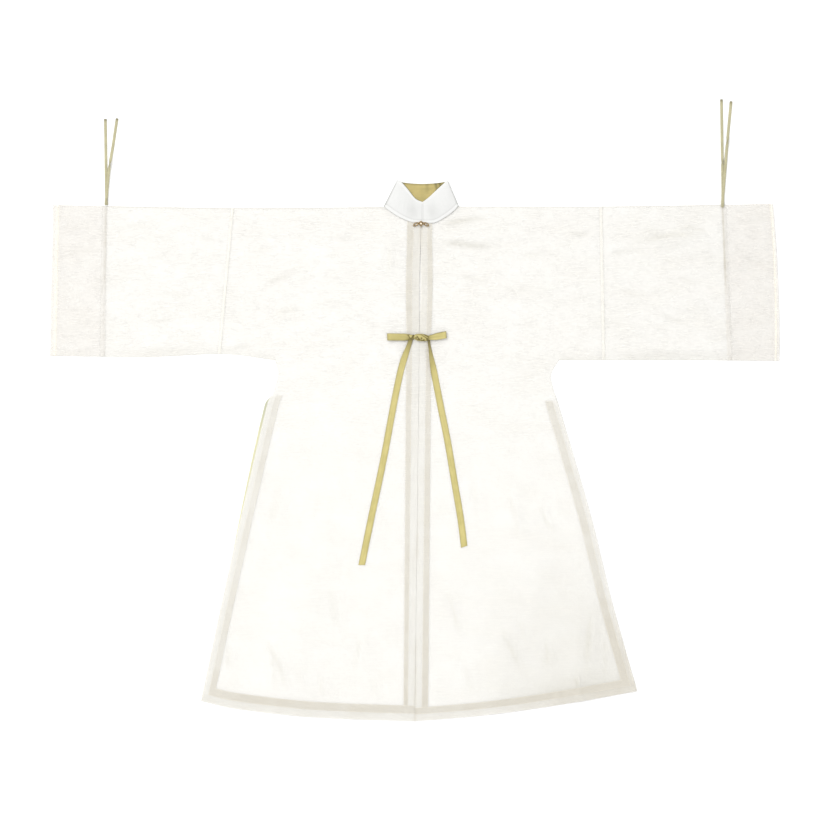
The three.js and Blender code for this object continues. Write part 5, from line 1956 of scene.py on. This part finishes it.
# ---- the clasp ------------------------------------------------------------------------------
@dataclass(frozen=True)
class Clasp:
    """A small gilt clasp: a diamond frame, a bead buttoned in it, and an open wing each side."""

    finishes: Finishes
    x: float = 15.3
    y: float = 533.0
    low: float = 5.6

    def oval(self, sign: int, scale: float, height: float, steps: int = 40) -> Array:
        """The line of one wing's oval ring."""
        turn = math.radians(-sign * 32.0)
        turns = np.linspace(0.0, 2.0 * np.pi, steps, endpoint=False)
        along, across = 5.9 * scale * np.cos(turns), 3.2 * scale * np.sin(turns)
        x = self.x + sign * 12.2 + along * math.cos(turn) - across * math.sin(turn)
        y = self.y - 1.6 + along * math.sin(turn) + across * math.cos(turn)
        return np.stack([x, y, np.full(steps, height)], 1)

    def diamond(self, scale: float, height: float, steps: int = 12) -> Array:
        """The line of the diamond frame, its sides drawn in a little."""
        corners = np.array([(-8.6, 1.0), (-0.2, -5.7), (8.4, 1.0), (0.0, 6.2)]) * scale
        points = []
        for index in range(4):
            start, end = corners[index], corners[(index + 1) % 4]
            for part in np.linspace(0.0, 1.0, steps, endpoint=False):
                drawn = 1.0 - 0.1 * math.sin(math.pi * part)
                points.append(mix(start, end, part) * drawn)
        plan = np.array(points)
        return np.stack([self.x + plan[:, 0], self.y + plan[:, 1], np.full(len(plan), height)], 1)

    def circle(self, radius: float, height: float, steps: int = 32) -> Array:
        """The line of a round about the bead."""
        turns = np.linspace(0.0, 2.0 * np.pi, steps, endpoint=False)
        return np.stack(
            [self.x + radius * np.cos(turns), self.y + radius * np.sin(turns), np.full(steps, height)], 1
        )

    def plate(self) -> Body:
        """The thin plate between the diamond frame and the round of the bead."""
        outer, count = self.diamond(0.96, self.low + 1.5, 12), 48
        angle = np.arctan2(outer[:, 1] - self.y, outer[:, 0] - self.x)
        inner = np.stack(
            [self.x + 3.0 * np.cos(angle), self.y + 3.0 * np.sin(angle), np.full(count, self.low + 1.7)], 1
        )
        lattice = np.stack([outer, mix(outer, inner, 0.5) - np.array([0.0, 0.0, 0.25]), inner])
        lattice = np.concatenate([lattice, lattice[:, :1]], axis=1)
        return thick_cloth(lattice, 0.5, lattice[..., :2].copy(), 0.35)

    def ball(self, centre: Sequence[float], radius: float, squash: float = 1.0, sides: int = 20) -> Body:
        """A small round bead."""
        tilt = np.linspace(-np.pi / 2.0 + 0.06, np.pi / 2.0 - 0.06, sides // 2 + 1)
        path = np.stack([np.zeros_like(tilt), np.zeros_like(tilt), radius * squash * np.sin(tilt)], 1)
        turns = round_turns(sides)

        def ring(step: int) -> Array:
            """One level of the bead."""
            across = radius * math.cos(tilt[step])
            return np.stack([across * np.cos(turns), across * np.sin(turns), np.zeros(sides)], 1)

        body = tube(path, ring)
        body.points = body.points + np.array(centre)
        return body

    def granules(self, line: Array, radius: float, every: int) -> list[Body]:
        """Tiny gilt grains along a line."""
        return [self.ball(point, radius, 1.0, 8) for point in line[::every]]

    def wing(self, sign: int) -> list[Body]:
        """The bodies of one wing."""
        height = self.low + 0.9
        bodies = [
            wire(self.oval(sign, 1.0, height), 0.95, 10, True),
            wire(self.oval(sign, 0.72, height - 0.1), 0.42, 8, True),
        ]
        bodies += self.granules(self.oval(sign, 1.2, height - 0.25, 22), 0.5, 1)
        hook = np.array(
            [
                (self.x + sign * 7.2, self.y - 0.6, height),
                (self.x + sign * 8.6, self.y + 1.6, height + 0.3),
                (self.x + sign * 11.0, self.y + 2.8, height),
            ]
        )
        bodies.append(wire(smooth_path(hook, 14), 0.7, 8))
        return bodies

    def build(self) -> None:
        """Builds both halves of the clasp and the bead."""
        frame = [
            wire(self.diamond(1.0, self.low + 1.7), 0.85, 10, True),
            wire(self.circle(3.25, self.low + 2.1), 0.5, 8, True),
            self.plate(),
            *self.granules(self.diamond(0.72, self.low + 2.1, 8), 0.42, 2),
            *self.wing(-1),
        ]
        stem = np.array(
            [
                (self.x - 0.1, self.y - 5.4, self.low + 1.4),
                (self.x - 0.2, self.y - 7.4, self.low + 1.3),
                (self.x - 0.2, self.y - 9.4, self.low + 0.6),
            ]
        )
        frame.append(wire(smooth_path(stem, 10), 0.8, 10))
        piece = mesh_piece("clasp_frame_gilt", frame)
        place_piece(piece, self.finishes.brass, Slot.METAL, "clasp_left")
        tongue = np.array(
            [
                (self.x + 0.4, self.y, self.low + 0.55),
                (self.x + 4.4, self.y - 0.2, self.low + 0.55),
                (self.x + 8.6, self.y - 0.4, self.low + 0.7),
            ]
        )
        piece = mesh_piece("clasp_catch_gilt", [wire(smooth_path(tongue, 14), 0.75, 10), *self.wing(1)])
        place_piece(piece, self.finishes.brass, Slot.METAL, "clasp_right")
        beads = [
            self.ball((self.x, self.y, self.low + 2.5), 2.5, 0.8, 24),
            self.ball((self.x - 10.8, self.y - 1.3, self.low + 0.9), 1.25, 0.8, 16),
            self.ball((self.x + 10.6, self.y - 1.3, self.low + 0.9), 1.25, 0.8, 16),
        ]
        piece = mesh_piece("clasp_beads_gilt", beads)
        place_piece(piece, self.finishes.bead, Slot.METAL)


# ---- the bow --------------------------------------------------------------------------------
@dataclass(frozen=True)
class RibbonLoop:
    """One loop of the bow."""

    name: str
    root: Plan
    tip: Plan
    height: float


@dataclass(frozen=True)
class Bow:
    """The ribbon bow: a knot, two flat loops and two long tails."""

    finishes: Finishes
    width: float = 16.5
    thick: float = 0.4
    loops: tuple[RibbonLoop, ...] = (
        RibbonLoop("left", (-0.4, 266.6), (-64.6, 267.3), 3.7),
        RibbonLoop("right", (31.0, 264.6), (75.2, 272.5), 3.9),
    )
    tails: tuple[tuple[Half, tuple[Plan, ...]], ...] = (
        (
            LEFT,
            (
                (-8.6, 262.0),
                (-11.4, 252.6),
                (-29.0, 201.5),
                (-46.8, 119.3),
                (-73.1, -21.7),
                (-102.7, -162.7),
                (-124.0, -268.3),
            ),
        ),
        (
            RIGHT,
            (
                (33.2, 260.0),
                (34.1, 252.6),
                (42.8, 201.5),
                (58.4, 119.3),
                (78.4, 18.2),
                (93.0, -68.7),
                (108.8, -162.7),
                (116.6, -225.3),
            ),
        ),
    )

    def ribbon(self, name: str, points: Array, flat: Array, shade: Array) -> bpy.types.Object:
        """Makes a piece of ribbon from its lattice."""
        return mesh_piece(name, [thick_cloth(points, self.thick, flat, shade)], 60.0)

    def build_loop(self, loop: RibbonLoop) -> None:
        """Builds one loop: out along the facing, round its end and back over itself."""
        start = np.array(loop.root)
        along = np.array(loop.tip) - start
        length = float(np.linalg.norm(along))
        along = along / length
        side = np.array([-along[1], along[0]])
        radius = (loop.height - 1.0) / 2.0
        straight = length - radius - 0.5
        low = TRIM_LOW + 0.35
        runs = np.linspace(0.0, 1.0, 22)[:-1]
        turns = np.linspace(0.0, np.pi, 13)
        lift = radius * (1.0 - ease(runs * 2.2)) * 0.4
        out = np.concatenate([straight * runs, straight + radius * np.sin(turns), (straight * runs)[::-1]])
        height = np.concatenate(
            [low + lift, low + radius * (1.0 - np.cos(turns)), (low + 2.0 * radius - lift)[::-1]]
        )
        across = np.linspace(-1.0, 1.0, 15)
        narrow = 0.62 + 0.38 * ease(out / 26.0)
        right = loop.name == "right"
        seed = 95 if right else 91
        upper = np.arange(len(out)) > len(out) // 2
        wave = 0.85 * np.sin(across[None, :] * 5.2 + 0.8) * np.exp(-out[:, None] / 18.0)
        wave = wave + 0.16 * ripple(out[:, None] / 11.0, across[None, :] * 1.6, seed)
        curl = np.where(upper, -0.55, 0.25)[:, None] * across[None, :] ** 2
        reach = self.width / 2.0 * narrow[:, None] * across[None, :]
        slant = 0.9 * across[None, :] * ease(out / length)[:, None] * (1.0 if right else -0.6)
        x, y = (start[axis] + along[axis] * (out[:, None] + slant) + side[axis] * reach for axis in (0, 1))
        z = height[:, None] + (wave + curl) * np.where(upper, 1.0, 0.25)[:, None]
        points = place_of(x, y, z)
        run = run_along(np.stack([out, height], 1))
        flat = np.stack(np.broadcast_arrays(run[:, None], across[None, :] * self.width / 2.0), -1)
        end = ease((out - length + 5.0) / 4.0)[:, None]
        # Painted shade near the knot, at the very end and along the edges and a fold; painted highlight
        # just before the end; the left loop carries more painted shade than the right.
        root_shade = 0.5 * np.exp(-out / 7.0) + (0.04 if right else 0.2)
        tip_shade_and_highlight = 0.25 * bell(out - length + 1.0, 1.6) - 0.1 * bell(out - length + 6.5, 2.6)
        shade = (root_shade + tip_shade_and_highlight)[:, None] + 0.3 * bell(np.abs(across) - 1.0, 0.2)[None, :]
        fold = bell(across[None, :] - 0.35 + out[:, None] / 60.0, 0.16)
        shade = shade + 0.3 * fold * np.exp(-out / 22.0)[:, None]
        if right:
            # Painted shade along the right loop's outer edge.
            outer_edge_shade = bell(across - 0.95, 0.16)[None, :] * ease(out / 12.0)[:, None]
            shade = shade + 0.55 * outer_edge_shade * (1.0 - end)
        piece = self.ribbon(f"bow_ribbon_loop_{loop.name}", points, flat, shade)
        place_piece(piece, self.finishes.olive, Slot.OLIVE, f"bow_loop_{loop.name}")

    def build_tail(self, half: Half, path: tuple[Plan, ...]) -> None:
        """Builds one long tail, lying on the placket and then on the front."""
        line = smooth_path(path, 130)
        along = np.gradient(line, axis=0)
        along = along / np.linalg.norm(along, axis=1, keepdims=True)
        side = np.stack([along[:, 1], -along[:, 0]], 1)
        run = run_along(line)
        across = np.linspace(-1.0, 1.0, 13)
        right = half.sign > 0
        turn = np.radians(68.0 if right else 50.0) * (1.0 - ease((run - 8.0) / (95.0 if right else 62.0)))
        reach = (self.width / 2.0 - 0.6) * across[None, :] * np.cos(turn)[:, None]
        skew = 1.6 * across[None, :] * ease((run - run[-1] + 14.0) / 14.0)[:, None]
        x = line[:, :1] + side[:, :1] * reach + along[:, :1] * skew
        y = line[:, 1:] + side[:, 1:] * reach + along[:, 1:] * skew
        off = np.abs(x - centre_x(y)) - half.placket_width(y)
        on_band = 1.0 - ease(off / 5.0)
        tilt = self.width / 2.0 * (across[None, :] + 1.0) * np.sin(turn)[:, None] * 0.55
        seed = 101 + half.sign
        wave = 0.3 * ripple(run[:, None] / 30.0, across[None, :], seed)
        wave = wave + 0.35 * np.maximum(ripple(run[:, None] / 60.0, across[None, :] * 0.6, seed + 4), 0.0)
        z = half.front_height(x, y) + CLOTH + 0.35 + 0.75 * on_band + tilt + wave * 0.8
        z = np.maximum(z, half.front_height(x, y) + CLOTH + 0.3 + 0.75 * on_band)
        lifted = 3.0 * (1.0 - ease(run / 26.0))[:, None]
        points = place_of(x, y, z + lifted)
        flat = np.stack(np.broadcast_arrays(run[:, None], across[None, :] * self.width / 2.0), -1)
        # Painted shade: darker near the knot, along both edges and at the end.
        top_shade = 0.75 * np.exp(-run / 16.0) + (0.25 * (1.0 - ease(run / 90.0)) if right else 0.0)
        shade = top_shade[:, None] + 0.03 + 0.34 * bell(np.abs(across) - 1.0, 0.24)[None, :]
        shade = shade + 0.12 * ease((run - run[-1] + 5.0) / 5.0)[:, None]
        piece = self.ribbon(f"bow_ribbon_tail_{half.name}", points, flat, shade)
        place_piece(piece, self.finishes.olive, Slot.OLIVE, f"bow_tail_{half.name}")

    def build_knot(self) -> None:
        """Builds the knot: wraps of ribbon with deep folds between them."""
        stations, sides = 64, 40
        along = np.linspace(0.0, 1.0, stations)
        turns = round_turns(sides)
        centre_y = 266.4 + mix(0.6, -1.6, along)
        x = mix(-1.0, 33.0, along)
        swell = 0.58 + 0.42 * np.sin(np.pi * np.clip(along * 0.94 + 0.04, 0.0, 1.0)) ** 0.7
        swell = swell * np.sqrt(np.clip(1.0 - (2.0 * along - 1.0) ** 16, 0.0, 1.0))
        path = np.stack([x, centre_y, np.full(stations, TRIM_LOW + 4.1)], 1)
        ring_y = 8.6 * swell[:, None] * np.cos(turns)[None, :]
        ring_z = 3.5 * swell[:, None] * np.sin(turns)[None, :]
        plan_x = np.broadcast_to(x[:, None], ring_y.shape)
        plan_y = centre_y[:, None] + ring_y
        top = np.sin(turns)[None, :] > -0.2
        grooves = np.zeros_like(ring_y)
        for start, end, width, depth in (
            ((19.0, 275.0), (39.0, 262.5), 1.3, 1.2),
            ((13.0, 274.0), (33.0, 261.0), 1.2, 1.0),
            ((25.0, 276.0), (42.0, 265.0), 1.1, 0.9),
            ((4.0, 271.0), (12.0, 259.0), 1.4, 1.2),
            ((0.0, 262.0), (26.0, 257.0), 1.3, 0.9),
        ):
            crease = Crease(start, end, width, 1.0)
            grooves = grooves + depth * np.maximum(crease.rise(plan_x, plan_y), 0.0)
        for spot_x, spot_y, size, depth in (
            (16.5, 263.8, 1.7, 1.5),
            (10.6, 260.9, 1.8, 1.4),
            (29.6, 262.0, 1.7, 1.4),
            (22.1, 259.8, 1.5, 1.3),
            (3.5, 264.5, 2.0, 1.0),
        ):
            grooves = grooves + depth * bell(np.hypot(plan_x - spot_x, plan_y - spot_y), size)
        grooves = np.where(top, grooves, 0.0)
        wraps = 0.35 * np.sin((plan_x * 0.5 + (plan_y - 266.0) * 0.85) * 0.9) * top
        scale = 1.0 - 0.26 * np.clip(grooves, 0.0, 1.6) + 0.1 * wraps
        rings = np.stack([np.zeros_like(ring_y), ring_y * mix(1.0, scale, 0.3), ring_z * scale], -1)
        body = tube(path, lambda step: rings[step])
        # Painted shade in the grooves between the wraps and along the knot's upper edge.
        upper_edge_shade = 0.45 * bell(plan_y - 273.5, 1.8)
        body.shade = np.clip(1.4 * np.clip(grooves, 0.0, 1.0) + upper_edge_shade + 0.14, 0.0, 1.0).ravel()
        flap = self.flap()
        piece = mesh_piece("bow_ribbon_knot", [body, flap], 70.0)
        place_piece(piece, self.finishes.olive, Slot.OLIVE, "bow_knot")

    def flap(self) -> Body:
        """The pointed fold where the left tail turns down out of the knot."""
        down, over = np.meshgrid(np.linspace(0.0, 1.0, 22), np.linspace(-1.0, 1.0, 19), indexing="ij")
        middle = mix(-9.2, -8.4, down)
        half_width = mix(8.4, 1.4, down**0.9)
        x = middle + half_width * over
        y = mix(272.0, 262.4, down) + 0.5 * np.abs(over)
        rise = 1.5 * (1.0 - over**2) * (1.0 - 0.35 * down)
        z = TRIM_LOW + 5.9 + rise + 0.5 * down
        edge = bell(1.0 - np.abs(over), 0.46) + bell(down - 1.0, 0.3)
        z = z - 1.3 * bell(1.0 - np.abs(over), 0.1)
        # Painted shade along the flap's sides, at its point and at its top.
        shade = np.clip(1.25 * edge * ease(down * 4.0 + 0.2) + 0.55 * bell(down, 0.1), 0.0, 1.0)
        return thick_cloth(place_of(x, y, z), self.thick, np.stack([y, x], -1), shade)

    def build(self) -> None:
        """Builds the whole bow."""
        for loop in self.loops:
            self.build_loop(loop)
        for half, path in self.tails:
            self.build_tail(half, path)
        self.build_knot()


# ---- the drawstring ends --------------------------------------------------------------------
@dataclass(frozen=True)
class Lace:
    """One free end of a cuff drawstring: a flat braided cord."""

    name: str
    path: tuple[tuple[float, float, float], ...]
    twist_at: float
    width: float = 6.5
    wall: float = 1.6
    sides: int = 14

    def build(self, finishes: Finishes) -> None:
        """Builds the lace and says what it is."""
        line = smooth_path(self.path, 70)
        centre = line + np.array([0.0, 0.0, self.wall / 2.0])
        _, across, above = frame_of(centre)
        run = np.linspace(0.0, 1.0, len(line))
        sway = 0.25 * np.sin(run * 9.0 + self.twist_at * 20.0) * run * 0.4
        turn = 0.95 * bell(run - self.twist_at, 0.035) + sway
        turns = (np.arange(self.sides) + 0.5) * 2.0 * np.pi / self.sides
        tip = 1.0 - 0.12 * bell(run - 1.0, 0.01)

        def ring(step: int) -> Array:
            """The flat oval section."""
            flat = self.width / 2.0 * np.sign(np.cos(turns)) * np.abs(np.cos(turns)) ** 0.75 * tip[step]
            tall = self.wall / 2.0 * 0.85 * np.sign(np.sin(turns)) * np.abs(np.sin(turns)) ** 0.75
            cos, sin = math.cos(turn[step]), math.sin(turn[step])
            lift = self.width / 2.0 * abs(sin) * 0.6
            sideways = np.outer(flat * cos - tall * sin, across[step])
            upright = np.outer(flat * sin + tall * cos + lift, above[step])
            return sideways + upright

        body = tube(centre, ring)
        from_tip = (1.0 - run) * path_length(line)
        # Darker toward both ends, and painted shade where the cord twists over.
        at_ends = 0.85 * bell(from_tip, 5.0) + 0.3 * np.exp(-run * 14.0)
        shade = at_ends + 0.5 * bell(run - self.twist_at, 0.03)
        body.shade = np.repeat(np.clip(shade, 0.0, 1.0), self.sides)
        piece = mesh_piece(f"drawstring_{self.name}", [body], 60.0)
        place_piece(piece, finishes.braid, Slot.LACE, f"lace_{self.name}")


LACES = (
    Lace("left_under", ((-723.2, 577.2, 0.2), (-723.9, 606, 0), (-725, 680, 0), (-726.4, 779.6, 0)), 0.06),
    Lace(
        "left_over",
        ((-724.6, 577.4, 2.0), (-722.6, 606, 2.0), (-717, 664, 1.9), (-708.5, 716, 0), (-698.7, 781, 0)),
        0.47,
    ),
    Lace("right_under", ((724.2, 580.2, 0.2), (724.4, 612, 0), (723, 700, 0), (721.2, 825.7, 0)), 0.4),
    Lace(
        "right_over",
        (
            (722.9, 571.5, 5.6),
            (722.8, 578.5, 5.3),
            (723.8, 592, 2.6),
            (726, 620, 2.0),
            (731.5, 688, 1.9),
            (737, 748, 0),
            (743.8, 821, 0),
        ),
        0.62,
    ),
)


# ---- the studio -----------------------------------------------------------------------------
@dataclass(frozen=True)
class Studio:
    """A white table, soft light from the upper left, and a camera straight above."""

    view_x: float = -10.6
    view_y: float = 95.8
    view_width: float = 1927.0
    lens: float = 85.0
    sensor: float = 36.0
    sky: float = 0.93
    sun_strength: float = 1.35
    window_power: float = 9.0

    def build(self) -> None:
        """Makes the camera, lights and table."""
        scene = bpy.context.scene
        camera = bpy.data.cameras.new("overhead")
        camera.lens = self.lens
        camera.sensor_width = self.sensor
        camera.clip_end = 60.0
        holder = bpy.data.objects.new("overhead", camera)
        away = self.view_width * MM * self.lens / self.sensor
        holder.location = (self.view_x * MM, self.view_y * MM, away)
        scene.collection.objects.link(holder)
        scene.camera = holder
        world = bpy.data.worlds.new("white_room")
        world.use_nodes = True
        background = world.node_tree.nodes["Background"]
        background.inputs["Color"].default_value = (1.0, 1.0, 1.0, 1.0)
        background.inputs["Strength"].default_value = self.sky
        scene.world = world
        sun = bpy.data.lights.new("daylight", "SUN")
        sun.energy = self.sun_strength
        sun.angle = math.radians(32.0)
        self.place_light(sun, Vector((-0.9, 0.75, 1.3)), Vector((0.0, 0.0, 0.0)))
        lamp = bpy.data.lights.new("window", "AREA")
        lamp.energy = self.window_power
        lamp.size = 1.2
        self.place_light(lamp, Vector((-0.55, 0.12, 2.2)), Vector((-0.55, 0.12, 0.0)))
        mesh = bpy.data.meshes.new("table_top")
        reach = 30.0
        corners = [(-reach, -reach, 0.0), (reach, -reach, 0.0), (reach, reach, 0.0), (-reach, reach, 0.0)]
        mesh.from_pydata(corners, [], [(0, 1, 2, 3)])
        table = bpy.data.objects.new("table_top", mesh)
        table.data.materials.append(Table("table_white", (0.93, 0.93, 0.925)).material())
        scene.collection.objects.link(table)
        scene.view_settings.view_transform = "Standard"
        scene.view_settings.look = "None"
        scene.cycles.transparent_max_bounces = 32

    def place_light(self, light: bpy.types.Light, where: Vector, toward: Vector) -> None:
        """Hangs a light and aims it."""
        holder = bpy.data.objects.new(light.name, light)
        holder.location = where
        holder.rotation_euler = (toward - where).to_track_quat("-Z", "Y").to_euler()
        bpy.context.scene.collection.objects.link(holder)


def main() -> None:
    """Builds the robe around its frame."""
    logging.basicConfig(level=logging.INFO, format="%(message)s")
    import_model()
    Studio().build()
    finishes = Finishes()
    for lace in LACES:
        lace.build(finishes)
    stitches = StitchRow()
    BodyCloth(finishes, stitches).build()
    SlitBinding(finishes).build()
    Collar(finishes, stitches).build()
    Clasp(finishes).build()
    Bow(finishes).build()


if __name__ == "__main__":
    main()
